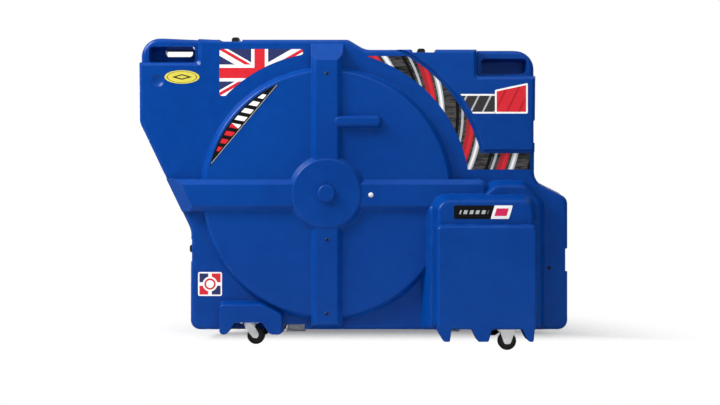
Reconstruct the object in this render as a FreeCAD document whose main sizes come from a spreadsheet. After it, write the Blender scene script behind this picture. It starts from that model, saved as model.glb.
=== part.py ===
import FreeCAD, Part
import Sketcher
import math
import os

from FreeCAD import Placement, Rotation, Vector

# Bike travel case: two moulded halves that meet on a vertical parting plane, hinged along the bottom.
# X runs along the case, Y from front to rear, Z up; the floor is Z = 0. The front half is the lid.

doc = FreeCAD.newDocument("bike_travel_case")
size = doc.addObject("Spreadsheet::Sheet", "size")

DIMENSIONS = (
    # Rim outline, measured at the parting plane
    ("half_length", 619, "rim reach to the left and right of the middle"),
    ("rim_low", 33, "lower rim above the floor"),
    ("left_handle_top", 886, "top of the left carrying handle"),
    ("left_handle_end", 395, "where the handle's top eases into the left top edge"),
    ("top_left", 876, "left top edge"),
    ("top_step_start", -12, "upper end of the step in the top edge"),
    ("top_step_end", 36, "lower end of the step in the top edge"),
    ("top_right", 847, "right top edge"),
    ("right_edge", 528, "upper right edge"),
    ("right_waist", 524, "foot of the upper right edge"),
    ("right_shoulder_high", 469, "upper end of the right shoulder"),
    ("right_shoulder_low", 421, "lower end of the right shoulder"),
    ("left_foot", 472, "lower left edge, left of the middle"),
    ("left_slant_low", 326, "lower end of the left slant"),
    ("left_slant_high", 630, "upper end of the left slant"),
    ("corner_large", 58, "corner radius at the handles"),
    ("corner_small", 35, "corner radius at the bottom"),
    ("corner_soft", 50, "corner radius on the slants"),
    # Moulding
    ("parting_y", 38, "parting plane, so that the case is centred from front to rear"),
    ("wall", 4, "moulded wall"),
    ("draft", 0.093, "draft of the side walls, length per depth"),
    ("seal_gap", 6, "gap between the two rims"),
    ("edge_round", 14, "rounding of the outer edges"),
    # Depths in front of the parting plane, and behind it
    ("handle_depth", 50, "face of the handles"),
    ("panel_depth", 100, "main panel"),
    ("high_panel_depth", 112, "upper right panel"),
    ("drum_depth", 128, "wheel drum"),
    ("bar_depth", 142, "stiffening bars"),
    ("disc_depth", 145, "disc round the hub"),
    ("boss_depth", 156, "hub boss of the lid"),
    ("rear_disc_depth", 150, "hub disc of the base, its deepest point and rest face"),
    ("rear_bar_depth", 148, "stiffening bars of the base"),
    ("plateau_depth", 150, "plateau under the pod"),
    ("upper_pod_depth", 205, "upper pod"),
    ("pod_depth", 226, "lower pod, the deepest point of the lid"),
    ("caster_pod_depth", 130, "small caster pods"),
    ("root_depth", 90, "where raised forms start, under the panel"),
    # Wheel drum, hub and bars
    ("hub_x", -74, "hub along the case"),
    ("hub_z", 428, "hub height"),
    ("drum_root_radius", 366, "drum at its root"),
    ("drum_face_radius", 346, "drum at its face"),
    ("disc_face_radius", 95, "hub disc at its face"),
    ("boss_root_radius", 34, "hub boss at its root"),
    ("boss_face_radius", 24, "hub boss at its face"),
    ("bar_width", 60, "face width of a bar"),
    ("bar_chamfer", 13.5, "chamfer round the faces of the bars and the hub disc"),
    ("ring_inner_radius", 455, "inner edge of the upper right panel, about the hub"),
    # Hinges
    ("hinge_z", 29, "hinge axis above the floor"),
    ("hinge_left", -168, "left hinge"),
    ("hinge_right", 285, "right hinge"),
    ("hinge_roof", 57, "roof of the hinge notches"),
    ("hinge_width", 52, "leaf width"),
    ("hinge_notch", 60, "width of a hinge notch"),
    ("hinge_reach", 46, "leaf reach from the parting plane"),
    ("leaf", 2.5, "leaf thickness"),
    ("knuckle_radius", 5.5, "hinge knuckle"),
    ("hinge_pin_radius", 3, "hinge pin"),
    ("flange_gap", 1.2, "half the gap between the two leaves"),
    # Latches
    ("latch_notch", 62, "floor width of a latch notch"),
    ("latch_plate_width", 54, "seat plate along the edge"),
    ("latch_plate_reach", 40, "seat plate across the edge"),
    ("latch_plate_start", 6, "seat plate from the parting plane"),
    ("latch_sheet", 2, "seat plate and keeper thickness"),
    ("spindle_place", 24, "spindle from the parting plane"),
    ("spindle_radius", 5, "spindle"),
    ("hook_width", 16, "hook plate width"),
    ("hook_sheet", 2.2, "hook plate thickness"),
    ("hook_tip", 11, "hook reach over the lid"),
    ("hook_travel", 5, "draw of the hook"),
    ("wing_width", 24, "wing width"),
    ("wing_length", 34, "wing length"),
    ("wing_foot", 8, "underside of the wing above its seat"),
    ("wing_round", 8, "rounding of the wing"),
    ("wing_top_tall", 30, "wing height on the top edge"),
    ("wing_top_middle", 25, "wing height on the left edge"),
    ("wing_top_low", 18, "wing height on the right edge"),
    # Casters
    ("wheel_radius", 25, "caster wheel"),
    ("wheel_core_radius", 16, "hub of the caster wheel"),
    ("tyre_width", 19, "tyre"),
    ("tyre_round", 4, "rounding of the tyre"),
    ("wheel_hub_width", 21, "hub width"),
    ("axle_radius", 4, "axle bolt"),
    ("axle_length", 28, "between the bolt heads"),
    ("bore_gap", 0.1, "running clearance of wheel and swivel"),
    ("swivel_height", 65, "swivel caster over all"),
    ("rigid_height", 58, "rigid caster over all"),
    ("trail", 18, "wheel axle behind the swivel axis"),
    ("caster_plate_length", 56, "top plate along the case"),
    ("caster_plate_width", 46, "top plate across the case"),
    ("caster_sheet", 2.5, "sheet of plates and forks"),
    ("cheek_gap", 23, "between the cheeks of a fork"),
    ("race_radius", 17, "swivel race"),
    ("race_height", 4.5, "swivel race below its plate"),
    ("kingpin_radius", 5, "kingpin"),
    ("left_caster_x", -295, "left casters along the case"),
    ("right_caster_x", 421, "right casters along the case"),
    ("caster_depth", 88, "casters from the parting plane"),
    ("pod_caster_depth", 198, "caster under the pod, from the parting plane"),
    ("bay_roof", 80, "roof width of a caster bay"),
    ("bay_mouth", 126, "mouth width of a caster bay"),
    ("bay_start", 34, "caster bay from the parting plane"),
    # Inside
    ("foam_start", 80, "foam face from the parting plane"),
    ("foam_edge", 24, "foam edge inside the rim outline"),
    ("strap_width", 25, "webbing"),
    ("strap_sheet", 2, "webbing thickness"),
    ("pole_radius", 16, "anti-crush tube"),
    ("pole_wall", 2, "wall of the tube"),
    ("hub_pad_radius", 40, "pad on the lid"),
    ("hub_pad_sheet", 6, "pad thickness"),
    ("rivet_radius", 5, "strap rivet head"),
)


def fill_sheet():
    for row, (alias, value, meaning) in enumerate(DIMENSIONS, start=1):
        size.set(f"A{row}", meaning)
        size.set(f"B{row}", str(value))
        size.setAlias(f"B{row}", alias)
    doc.recompute()


fill_sheet()


def mm(alias):
    return float(size.get(alias))


WALL = mm("wall")
HALF_GAP = mm("seal_gap") / 2
HUB = (mm("hub_x"), mm("hub_z"))
PARTING_Y = mm("parting_y")
# Reach of a cutter that runs right through one half
THROUGH = 260
FORWARDS = Vector(0, -1, 0)
OUT_OF_REACH = 1000

nodes = []


# Document helpers

def keep(item, name):
    item.Label = name
    nodes.append(item)
    return item


def solid_feature(label, shape):
    item = doc.addObject("Part::Feature", label)
    item.Shape = shape
    return item


def primitive(kind, label, sizes, place=None):
    item = doc.addObject(kind, label)
    for name, formula in sizes.items():
        item.setExpression(name, formula)
    if place:
        item.Placement = place
    return item


def block(label, length, width, height, x, y, z):
    """Box given by formulas: its sizes, then its lowest corner."""
    sizes = {"Length": length, "Width": width, "Height": height}
    sizes.update({"Placement.Base.x": x, "Placement.Base.y": y, "Placement.Base.z": z})
    return primitive("Part::Box", label, sizes)


def cylinder(label, radius, height, place):
    return primitive("Part::Cylinder", label, {"Radius": radius, "Height": height}, place)


def fuse(label, *items):
    item = doc.addObject("Part::MultiFuse", label)
    item.Shapes = list(items)
    return item


def cut(label, base, *tools):
    item = doc.addObject("Part::Cut", label)
    item.Base = base
    item.Tool = tools[0] if len(tools) == 1 else fuse(label + "_tools", *tools)
    return item


def fillet(label, base, radius, chosen):
    """Rounds the edges of a finished base that the test function picks."""
    doc.recompute()
    item = doc.addObject("Part::Fillet", label)
    item.Base = base
    picked = [number for number, edge in enumerate(base.Shape.Edges, start=1) if chosen(edge)]
    item.Edges = [(number, radius, radius) for number in picked]
    return item


def copies(label, source, places):
    """One node of separate, equal solids."""
    links = []
    for number, place in enumerate(places, start=1):
        link = doc.addObject("App::Link", f"{label}_{number}")
        link.LinkedObject = source
        link.Placement = place
        links.append(link)
    group = doc.addObject("Part::Compound", label)
    group.Links = links
    return group


def along_y(x, y, z):
    """Place of a cylinder that runs from a point towards the rear."""
    return Placement(Vector(x, y, z), Rotation(Vector(1, 0, 0), -90))


def along_x(x, y, z):
    return Placement(Vector(x, y, z), Rotation(Vector(0, 1, 0), 90))


# Sketch helpers for pieces made from a profile

def origin_plane(body, role):
    return next(item for item in body.Origin.OriginFeatures if item.Role == role)


def new_body(label):
    return doc.addObject("PartDesign::Body", label)


def new_sketch(body, label, role):
    sketch = body.newObject("Sketcher::SketchObject", label)
    sketch.AttachmentSupport = (origin_plane(body, role), [""])
    sketch.MapMode = "FlatFace"
    return sketch


def ring_sketch(body, label, role, outer, inner):
    """Two circles about the origin, with radii given by formulas."""
    sketch = new_sketch(body, label, role)
    for number, formula in enumerate((outer, inner)):
        sketch.addGeometry(Part.Circle(Vector(0, 0, 0), Vector(0, 0, 1), 1 + number))
        sketch.addConstraint(Sketcher.Constraint("Coincident", number, 3, -1, 1))
        index = sketch.addConstraint(Sketcher.Constraint("Radius", number, 1 + number))
        sketch.setExpression(f"Constraints[{index}]", formula)
    return sketch


def ring_body(label, role, outer, inner, length):
    """A tube about the origin, half its length to each side of the sketch."""
    body = new_body(label)
    sketch = ring_sketch(body, label + "_profile", role, outer, inner)
    pad = body.newObject("PartDesign::Pad", label + "_pad")
    pad.Profile = sketch
    pad.SideType = "Symmetric"
    pad.setExpression("Length", length)
    body.Tip = pad
    return body


# Outline helpers: a corner is (x, z, radius), a depth is measured forwards from the parting plane

def rounded_wire(corners, depth, inset=0.0):
    """Closed outline of straight runs and tangent arcs, moved inwards by the inset."""
    count = len(corners)
    area = sum(a[0] * b[1] - b[0] * a[1] for a, b in zip(corners, corners[1:] + corners[:1]))
    side = math.copysign(1, area)
    runs = []
    for (ax, az, _), (bx, bz, _) in zip(corners, corners[1:] + corners[:1]):
        length = math.hypot(bx - ax, bz - az)
        along = ((bx - ax) / length, (bz - az) / length)
        runs.append((ax - along[1] * side * inset, az + along[0] * side * inset, along))
    arcs = []
    for index in range(count):
        px, pz, before = runs[index - 1]
        qx, qz, after = runs[index]
        cross = before[0] * after[1] - before[1] * after[0]
        dot = before[0] * after[0] + before[1] * after[1]
        step = ((qx - px) * after[1] - (qz - pz) * after[0]) / cross
        x = px + before[0] * step
        z = pz + before[1] * step
        half_turn = abs(math.atan2(cross, dot)) / 2
        change = -inset if cross * side > 0 else inset
        radius = max(corners[index][2] + change, 1.0)
        reach = radius * math.tan(half_turn)
        bulge = (radius / math.cos(half_turn) - radius) / (2 * math.sin(half_turn))
        start = Vector(x - before[0] * reach, -depth, z - before[1] * reach)
        middle = Vector(x + (after[0] - before[0]) * bulge, -depth, z + (after[1] - before[1]) * bulge)
        end = Vector(x + after[0] * reach, -depth, z + after[1] * reach)
        arcs.append((start, middle, end))
    edges = []
    for index, (start, middle, end) in enumerate(arcs):
        edges.append(Part.LineSegment(arcs[index - 1][2], start).toShape())
        edges.append(Part.Arc(start, middle, end).toShape())
    return Part.Wire(edges)


def loft(low, high):
    return Part.makeLoft([low, high], True, True)


def prism(corners, low, high, inset=0.0):
    face = Part.Face(rounded_wire(corners, low, inset))
    return face.extrude(Vector(0, low - high, 0))


def round_front(solid, depth, radius):
    """Rounds the edges that lie on the plane at this depth."""
    edges = [edge for edge in solid.Edges if all(abs(v.Y + depth) < 0.001 for v in edge.Vertexes)]
    return solid.makeFillet(radius, edges)


def rectangle(left, right, low, high, radius):
    return [(left, low, radius), (left, high, radius), (right, high, radius), (right, low, radius)]


def raised(root, face, depth, radius, offset):
    """A drafted form that stands on the panel; the offset gives its inner skin."""
    solid = loft(rounded_wire(root, mm("root_depth"), offset), rounded_wire(face, depth - offset, offset))
    return round_front(solid, depth - offset, max(radius - offset, 1.5))


def cone(root_radius, face_radius, depth, radius, offset, x=HUB[0], z=HUB[1]):
    start = mm("root_depth")
    height = depth - offset - start
    solid = Part.makeCone(root_radius - offset, face_radius - offset, height,
                          Vector(x, -start, z), FORWARDS)
    return round_front(solid, depth - offset, max(radius - offset, 1.5))


# Rim outline, clockwise from the left handle

RIM = [
    (-mm("half_length"), mm("left_handle_top"), mm("corner_large")),
    (-mm("left_handle_end"), mm("top_left"), mm("corner_large")),
    (mm("top_step_start"), mm("top_left"), mm("corner_small")),
    (mm("top_step_end"), mm("top_right"), mm("corner_soft")),
    (mm("right_edge"), mm("top_right"), mm("corner_large")),
    (mm("right_waist"), mm("right_shoulder_high"), mm("corner_small")),
    (mm("half_length"), mm("right_shoulder_low"), mm("corner_small")),
    (mm("half_length"), mm("rim_low"), mm("corner_small")),
    (-mm("left_foot"), mm("rim_low"), mm("corner_small")),
    (-mm("left_foot"), mm("left_slant_low"), mm("corner_soft")),
    (-mm("half_length"), mm("left_slant_high"), mm("corner_soft")),
]


def tray(depth, offset):
    """The drafted box of one half up to a depth, or its inside."""
    low = HALF_GAP - (1 if offset else 0)
    high = depth - offset
    draft = mm("draft")
    solid = loft(rounded_wire(RIM, low, offset + draft * low), rounded_wire(RIM, high, offset + draft * high))
    return round_front(solid, high, mm("edge_round") - offset)


# Carrying handles: a low, rounded frame round a finger recess, set back from the panel

HANDLES = {
    "left": {"corner": (-449, 809), "outwards": -1, "recess": rectangle(-592, -458, 806, 855, 12),
             "slot": rectangle(-551, -471, 830, 853, 10)},
    "right": {"corner": (360, 771), "outwards": 1, "recess": rectangle(369, 503, 775, 820, 12), "slot": None},
}
HANDLE_DRAFT = 0.2
HANDLE_CHAMFER = 7
HANDLE_OVERLAP = 30
RECESS_FLOOR = 12
RECESS_DRAFT = 5


def handle_zone(handle, offset):
    """Everything above and outside a handle's two inner walls, which lean and end in a chamfer."""
    x, z = handle["corner"]
    far_x = handle["outwards"] * OUT_OF_REACH
    chamfer_end = mm("high_panel_depth") if handle["outwards"] > 0 else mm("panel_depth")
    chamfer_start = chamfer_end - HANDLE_CHAMFER

    def outline(depth, flare):
        lean = HANDLE_DRAFT * (depth - mm("handle_depth")) + flare
        edge = x - handle["outwards"] * lean
        corners = [(edge, z - lean, 12), (edge, OUT_OF_REACH, 1), (far_x, OUT_OF_REACH, 1),
                   (far_x, z - lean, 1)]
        return rounded_wire(corners, depth, -offset)

    walls = loft(outline(-1, 0), outline(THROUGH, 0))
    chamfer = loft(outline(chamfer_start, 0), outline(chamfer_start + 2 * HANDLE_CHAMFER, 2 * HANDLE_CHAMFER))
    return walls.fuse(chamfer)


def handle_frame(handle, offset):
    """The low frame itself, cut from a shallow tray and running a little under the panel."""
    x, z = handle["corner"]
    inner_x = x - handle["outwards"] * HANDLE_OVERLAP
    outer_x = handle["outwards"] * OUT_OF_REACH
    sides = sorted((inner_x, outer_x))
    area = prism(rectangle(*sides, z - HANDLE_OVERLAP, OUT_OF_REACH, 1), 0, THROUGH)
    return tray(mm("handle_depth"), offset).common(area)


def handle_recess(handle, offset):
    start = RECESS_FLOOR - offset
    end = mm("handle_depth") + 1
    shape = loft(rounded_wire(handle["recess"], start, RECESS_DRAFT - offset),
                 rounded_wire(handle["recess"], end, -offset))
    if handle["slot"]:
        shape = shape.fuse(prism(handle["slot"], -1, RECESS_FLOOR + 1, -offset))
    return shape


# Latch stations: seat on the rim outline, turn about Y of the outward direction, wing height

LATCHES = {
    "top_left": {"x": -348, "z": 861, "turn": 0, "wing": "wing_top_tall"},
    "top_right": {"x": 200, "z": 828, "turn": 0, "wing": "wing_top_tall"},
    "left": {"x": -459, "z": 267, "turn": -90, "wing": "wing_top_middle"},
    "right_upper": {"x": 511, "z": 604, "turn": 90, "wing": "wing_top_low"},
    "right_lower": {"x": 603, "z": 240, "turn": 90, "wing": "wing_top_low"},
}
NOTCH_HEIGHT = 40
NOTCH_FLARE = 14


def latch_place(name):
    latch = LATCHES[name]
    return Placement(Vector(latch["x"], PARTING_Y, latch["z"]), Rotation(Vector(0, 1, 0), latch["turn"]))


def latch_notch(name, offset):
    """A flat seat across the edge with flared sides, in the frame of a half."""
    latch = LATCHES[name]
    half = mm("latch_notch") / 2 + offset
    points = [(-half, -offset), (-half - NOTCH_FLARE, NOTCH_HEIGHT), (half + NOTCH_FLARE, NOTCH_HEIGHT),
              (half, -offset), (-half, -offset)]
    wire = Part.makePolygon([Vector(u, 1, w) for u, w in points])
    shape = Part.Face(wire).extrude(Vector(0, -THROUGH, 0))
    shape.Placement = Placement(Vector(latch["x"], 0, latch["z"]), Rotation(Vector(0, 1, 0), latch["turn"]))
    return shape


def hinge_notch(x, depth, offset):
    half = mm("hinge_notch") / 2 + offset
    roof = mm("hinge_roof") + offset
    return Part.makeBox(2 * half, depth + offset + 1, roof, Vector(x - half, -depth - offset, 0))


# Caster pods and bays

POD_FOOT = 31
FOOT_BREAK = 4


def pod_outline(x, way, grow):
    """Front of a small caster pod: upright outer side, slanted inner side."""
    points = [(-81, POD_FOOT, 12), (-81, 115, 14), (38, 115, 24), (95, 84, 14), (95, POD_FOOT, 12)]
    flare = [(-grow, 0), (-grow, grow * 2), (grow, grow * 2), (grow * 0.6, grow * 2), (grow * 0.6, 0)]
    return [(x + way * (px + fx), pz + fz, r) for (px, pz, r), (fx, fz) in zip(points, flare)]


def caster_pod(x, way, offset):
    return raised(pod_outline(x, way, 6), pod_outline(x, way, 0), mm("caster_pod_depth"), 5, offset)


def caster_bay(x, roof, offset):
    """The slot over a caster; its mouth is broken outwards at the pod's feet."""
    half_roof = mm("bay_roof") / 2 + offset
    half_mouth = mm("bay_mouth") / 2 + offset
    sides = [(half_mouth + FOOT_BREAK, 0, 1), (half_mouth + FOOT_BREAK, POD_FOOT, 3),
             (half_mouth - FOOT_BREAK, POD_FOOT + FOOT_BREAK, 9), (half_roof, roof + offset, 5)]
    left = [(x - reach, z, r) for reach, z, r in sides]
    right = [(x + reach, z, r) for reach, z, r in reversed(sides)]
    return prism(left + right, mm("bay_start") - offset, THROUGH)


# Bars of the cross over the drum: steep sides, a wide chamfer round the face and sloping ends

BAR_TOP_SLOPE = 64
BAR_FOOT_SLOPE = 20
BAR_ROUND = 6
BAR_CORNER = 12
BEVEL_SHARE = math.sqrt(2) - 1
LEVEL_BAR_LOW = 393
LEVEL_BAR_HIGH = 454
LEVEL_BAR_END = (-465, 423)
LEVEL_END_RUN = 43
LEVEL_END_DROP = 38
DISC_LEAN = 3
DIMPLE_PLACE = (-556, 750)
DIMPLE_RADIUS = 18
DIMPLE_DEPTH = 5


def chamfered(outline, depth, offset):
    """A steep form with a chamfer of half a right angle; the outline is that of its face."""
    start = mm("root_depth")
    chamfer = mm("bar_chamfer")
    inner = offset * BEVEL_SHARE
    edge = depth - chamfer - inner
    steep = mm("draft") * (edge - start)
    shoulder = rounded_wire(outline, edge, offset - chamfer)
    sides = loft(rounded_wire(outline, start, offset - chamfer - steep), shoulder)
    bevel = loft(shoulder, rounded_wire(outline, depth - offset, inner))
    return sides.fuse(bevel)


def beyond(start, end, along, offset):
    """A large block outside the plane through two points and along a direction."""
    down = (end - start).normalize() * OUT_OF_REACH
    side = Vector(along).normalize() * OUT_OF_REACH
    outwards = down.cross(side).normalize()
    middle = end - outwards * offset
    corners = [middle - down - side, middle + down - side, middle + down + side, middle - down + side]
    face = Part.Face(Part.makePolygon(corners + corners[:1]))
    return face.extrude(outwards * OUT_OF_REACH)


def upright_bar(depth, offset):
    half = mm("bar_width") / 2
    draft = mm("draft") * mm("panel_depth")
    low = mm("rim_low") + draft
    high = mm("top_left") - draft
    root = -mm("root_depth")
    x = HUB[0]
    outline = rectangle(x - half, x + half, low - BAR_TOP_SLOPE, high + BAR_TOP_SLOPE, BAR_CORNER)
    bar = chamfered(outline, depth, offset)
    top = beyond(Vector(x, root, high), Vector(x, -depth, high - BAR_TOP_SLOPE), Vector(1, 0, 0), offset)
    foot = beyond(Vector(x, root, low), Vector(x, -depth, low + BAR_FOOT_SLOPE), Vector(-1, 0, 0), offset)
    return round_front(bar.cut([top, foot]), depth - offset, BAR_ROUND - offset / 2)


def level_bar(right_end, depth, offset):
    """Bar across the drum; its left end slopes down to the wall along the left slant."""
    outline = rectangle(-OUT_OF_REACH, right_end, LEVEL_BAR_LOW, LEVEL_BAR_HIGH, BAR_CORNER)
    bar = chamfered(outline, depth, offset).common(tray(depth, offset))
    x, z = LEVEL_BAR_END
    end = Vector(x, -depth, z)
    start = end + Vector(-LEVEL_END_RUN, LEVEL_END_DROP, 0)
    slant = Vector(mm("left_foot") - mm("half_length"), 0, mm("left_slant_high") - mm("left_slant_low"))
    return round_front(bar.cut(beyond(start, end, slant, offset)), depth - offset, BAR_ROUND - offset / 2)


def short_rib(offset):
    """Small raised bar on the drum above the hub."""
    root = rectangle(-66, 92, 600, 660, 14)
    face = rectangle(-50, 76, 618, 642, 11)
    return raised(root, face, mm("bar_depth") + 4, 6, offset)


def drum(offset):
    return cone(mm("drum_root_radius"), mm("drum_face_radius"), mm("drum_depth"), 8, offset)


def hub_disc(depth, offset):
    chamfer = mm("bar_chamfer")
    start = mm("root_depth")
    inner = offset * BEVEL_SHARE
    edge = depth - chamfer - inner
    radius = mm("disc_face_radius")
    foot = Vector(HUB[0], -start, HUB[1])
    shoulder = Vector(HUB[0], -edge, HUB[1])
    wide = radius + chamfer - offset
    sides = Part.makeCone(wide + DISC_LEAN, wide, edge - start, foot, FORWARDS)
    bevel = Part.makeCone(wide, radius - inner, depth - offset - edge, shoulder, FORWARDS)
    return round_front(sides.fuse(bevel), depth - offset, BAR_ROUND - offset / 2)


def hub_boss(offset):
    return cone(mm("boss_root_radius"), mm("boss_face_radius"), mm("boss_depth"), 5, offset)


def dimple(offset):
    """A shallow round dish in the panel."""
    ball = (DIMPLE_RADIUS ** 2 + DIMPLE_DEPTH ** 2) / (2 * DIMPLE_DEPTH)
    x, z = DIMPLE_PLACE
    centre = Vector(x, -(mm("panel_depth") - DIMPLE_DEPTH + ball), z)
    return Part.makeSphere(ball + offset, centre)


# Upper right panel, plateau and pod of the lid

HIGH_PANEL_LOW = 546
HIGH_PANEL_LEAN = 8


def high_panel(offset):
    """The panel right of the drum: its inner edge is an arc about the hub."""
    depth = mm("high_panel_depth")
    start = mm("root_depth")
    low = HIGH_PANEL_LOW + offset
    root = rectangle(0, OUT_OF_REACH, low, OUT_OF_REACH, 1)
    face = rectangle(0, OUT_OF_REACH, low + HIGH_PANEL_LEAN, OUT_OF_REACH, 1)
    area = loft(rounded_wire(root, start), rounded_wire(face, depth))
    inner = mm("ring_inner_radius") + offset
    well = Part.makeCone(inner, inner + HIGH_PANEL_LEAN, depth - start, Vector(HUB[0], -start, HUB[1]),
                         FORWARDS)
    return tray(depth, offset).common(area.cut(well))


def plateau(offset):
    root = [(188, 41, 14), (188, 416, 20), (330, 416, 20), (392, 470, 30), (490, 470, 30), (548, 405, 30),
            (548, 41, 14)]
    face = [(216, 50, 14), (216, 398, 20), (340, 398, 20), (400, 450, 30), (474, 450, 30), (522, 396, 30),
            (522, 50, 14)]
    return raised(root, face, mm("plateau_depth"), 10, offset)


POD_FLOOR = 58


def upper_pod(offset):
    root = [(207, 300, 14), (207, 444, 44), (528, 444, 44), (528, 300, 14)]
    face = [(233, 310, 12), (233, 408, 34), (492, 408, 34), (492, 310, 12)]
    return raised(root, face, mm("upper_pod_depth"), 10, offset)


def lower_pod(offset):
    root = rectangle(215, 518, POD_FLOOR, 366, 14)
    face = rectangle(229, 498, POD_FLOOR, 339, 14)
    return raised(root, face, mm("pod_depth"), 8, offset)


def pod_feet():
    """Three tapering feet in line with the pod's front."""
    outlines = (
        [(230, 72, 3), (230, 52, 9), (246, 25, 11), (263, 25, 4), (269, 72, 3)],
        [(318, 72, 3), (340, 25, 5), (368, 25, 6), (381, 72, 3)],
        [(453, 72, 3), (478, 25, 6), (490, 25, 4), (495, 72, 3)],
    )
    front = mm("pod_depth")
    return [round_front(prism(outline, front - 66, front), front, 2) for outline in outlines]


# The two halves, each made in front of a parting plane at Y = 0

LID_BAR_RIGHT = 366
BASE_BAR_RIGHT = 540


def lid_forms(offset):
    bars = mm("bar_depth")
    forms = [drum(offset), upright_bar(bars, offset), level_bar(LID_BAR_RIGHT, bars, offset),
             hub_disc(mm("disc_depth"), offset), hub_boss(offset), short_rib(offset), high_panel(offset),
             plateau(offset), upper_pod(offset), lower_pod(offset),
             caster_pod(mm("left_caster_x"), 1, offset)]
    return forms if offset else forms + pod_feet()


def base_forms(offset):
    bars = mm("rear_bar_depth")
    return [drum(offset), upright_bar(bars, offset), level_bar(BASE_BAR_RIGHT, bars, offset),
            hub_disc(mm("rear_disc_depth"), offset), caster_pod(mm("left_caster_x"), 1, offset),
            caster_pod(mm("right_caster_x"), -1, offset)]


HINGE_DEPTH = 70


def lid_recesses(offset):
    return [hinge_notch(mm("hinge_left"), THROUGH, offset),
            hinge_notch(mm("hinge_right"), HINGE_DEPTH, offset),
            caster_bay(mm("left_caster_x"), mm("swivel_height"), offset), dimple(offset)]


def base_recesses(offset):
    return [hinge_notch(mm("hinge_left"), HINGE_DEPTH, offset),
            hinge_notch(mm("hinge_right"), HINGE_DEPTH, offset),
            caster_bay(mm("left_caster_x"), mm("swivel_height"), offset),
            caster_bay(mm("right_caster_x"), mm("rigid_height"), offset)]


def edge_recesses(offset):
    shapes = [latch_notch(name, offset) for name in LATCHES]
    return shapes + [handle_recess(handle, offset) for handle in HANDLES.values()]


def skin(forms, offset):
    """Outer skin of a half, or its inside where the offset is the wall."""
    main = tray(mm("panel_depth"), offset).fuse(forms)
    zones = [handle_zone(handle, offset) for handle in HANDLES.values()]
    frames = [handle_frame(handle, offset) for handle in HANDLES.values()]
    return main.cut(zones).fuse(frames)


def half_shell(forms, recesses):
    outside = skin(forms(0), 0).cut(edge_recesses(0) + recesses(0))
    inside = skin(forms(WALL), WALL).cut(edge_recesses(WALL) + recesses(WALL))
    return outside.cut(inside).removeSplitter()


def to_front(shape):
    return shape.translated(Vector(0, PARTING_Y, 0))


def to_rear(shape):
    return shape.mirror(Vector(0, 0, 0), Vector(0, 1, 0)).translated(Vector(0, PARTING_Y, 0))


keep(solid_feature("base_shell", to_rear(half_shell(base_forms, base_recesses))), "base_shell")
keep(solid_feature("lid_shell", to_front(half_shell(lid_forms, lid_recesses))), "lid_shell")


# Rim seal: a flat strip between the rims that shows as a thin lip and follows the notches

SEAL_LIP = 2.5
SEAL_BAND = 7
SEAL_REST = 0.4


def rim_notches(offset):
    shapes = [latch_notch(name, offset) for name in LATCHES]
    shapes += [hinge_notch(mm(side), HINGE_DEPTH, offset) for side in ("hinge_left", "hinge_right")]
    return [shape.translated(Vector(0, mm("seal_gap"), 0)) for shape in shapes]


def rim_seal():
    rear = -HALF_GAP
    front = HALF_GAP - SEAL_REST
    strip = prism(RIM, rear, front, -SEAL_LIP).cut(rim_notches(0))
    window = prism(RIM, rear - 1, front + 1, SEAL_BAND).cut(rim_notches(SEAL_BAND))
    return strip.cut(window)


keep(solid_feature("rim_seal", to_front(rim_seal())), "rim_seal")


# Fasteners: a domed head, a shank and a flat tail inside; the head points along the local Z

RIVET_TAIL = 2


def rivet(label, head_radius, head_height, shank_radius, grip):
    head_sizes = {"Radius1": f"{head_radius}", "Radius2": f"{head_radius} * 0.6", "Height": f"{head_height}"}
    head = primitive("Part::Cone", label + "_head", head_sizes)
    shank_length = grip + RIVET_TAIL
    inner_end = Placement(Vector(0, 0, -shank_length), Rotation())
    shank = cylinder(label + "_shank", f"{shank_radius}", f"{shank_length}", inner_end)
    tail = cylinder(label + "_tail", f"{shank_radius} * 1.7", f"{RIVET_TAIL}", inner_end)
    return fuse(label, head, shank, tail)


POINT_DOWN = Rotation(Vector(1, 0, 0), 180)
POINT_FRONT = Rotation(Vector(1, 0, 0), 90)
POINT_REAR = Rotation(Vector(1, 0, 0), -90)


# Hinges: cranked leaves under the notch roofs, five knuckles on one pin; the axis is the local X

KNUCKLES = 5
KNUCKLE_GAP = 0.3
LEAF_CLEARANCE = 0.7
HINGE_RIVET_X = 17
HINGE_RIVET_Y = 31


def hinge_leaf(label, way, own):
    """One leaf; way is 1 for the base and -1 for the lid, own lists its knuckles."""
    rise = "(size.hinge_roof - size.hinge_z)"
    left = "-size.hinge_width / 2"
    flange_y = "size.flange_gap" if way > 0 else "-size.flange_gap - size.leaf"
    deck_y = "size.flange_gap" if way > 0 else "-size.hinge_reach"
    flange = block(label + "_flange", "size.hinge_width", "size.leaf", rise, left, flange_y, "0")
    deck = block(label + "_deck", "size.hinge_width", "size.hinge_reach - size.flange_gap", "size.leaf",
                 left, deck_y, rise + " - size.leaf")
    pitch = mm("hinge_width") / KNUCKLES
    start = -mm("hinge_width") / 2
    pieces = [flange, deck]
    gaps = []
    for index in range(KNUCKLES):
        x = start + index * pitch
        if index in own:
            place = along_x(x + KNUCKLE_GAP / 2, 0, 0)
            pieces.append(cylinder(f"{label}_knuckle_{index}", "size.knuckle_radius",
                                   f"size.hinge_width / {KNUCKLES} - {KNUCKLE_GAP}", place))
        else:
            place = along_x(x - KNUCKLE_GAP / 2, 0, 0)
            gaps.append(cylinder(f"{label}_gap_{index}", f"size.knuckle_radius + {LEAF_CLEARANCE}",
                                 f"size.hinge_width / {KNUCKLES} + {KNUCKLE_GAP}", place))
    bore = cylinder(label + "_bore", "size.hinge_pin_radius + 0.05", "size.hinge_width + 2",
                    along_x(start - 1, 0, 0))
    return cut(label, fuse(label + "_body", *pieces), bore, *gaps)


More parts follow.
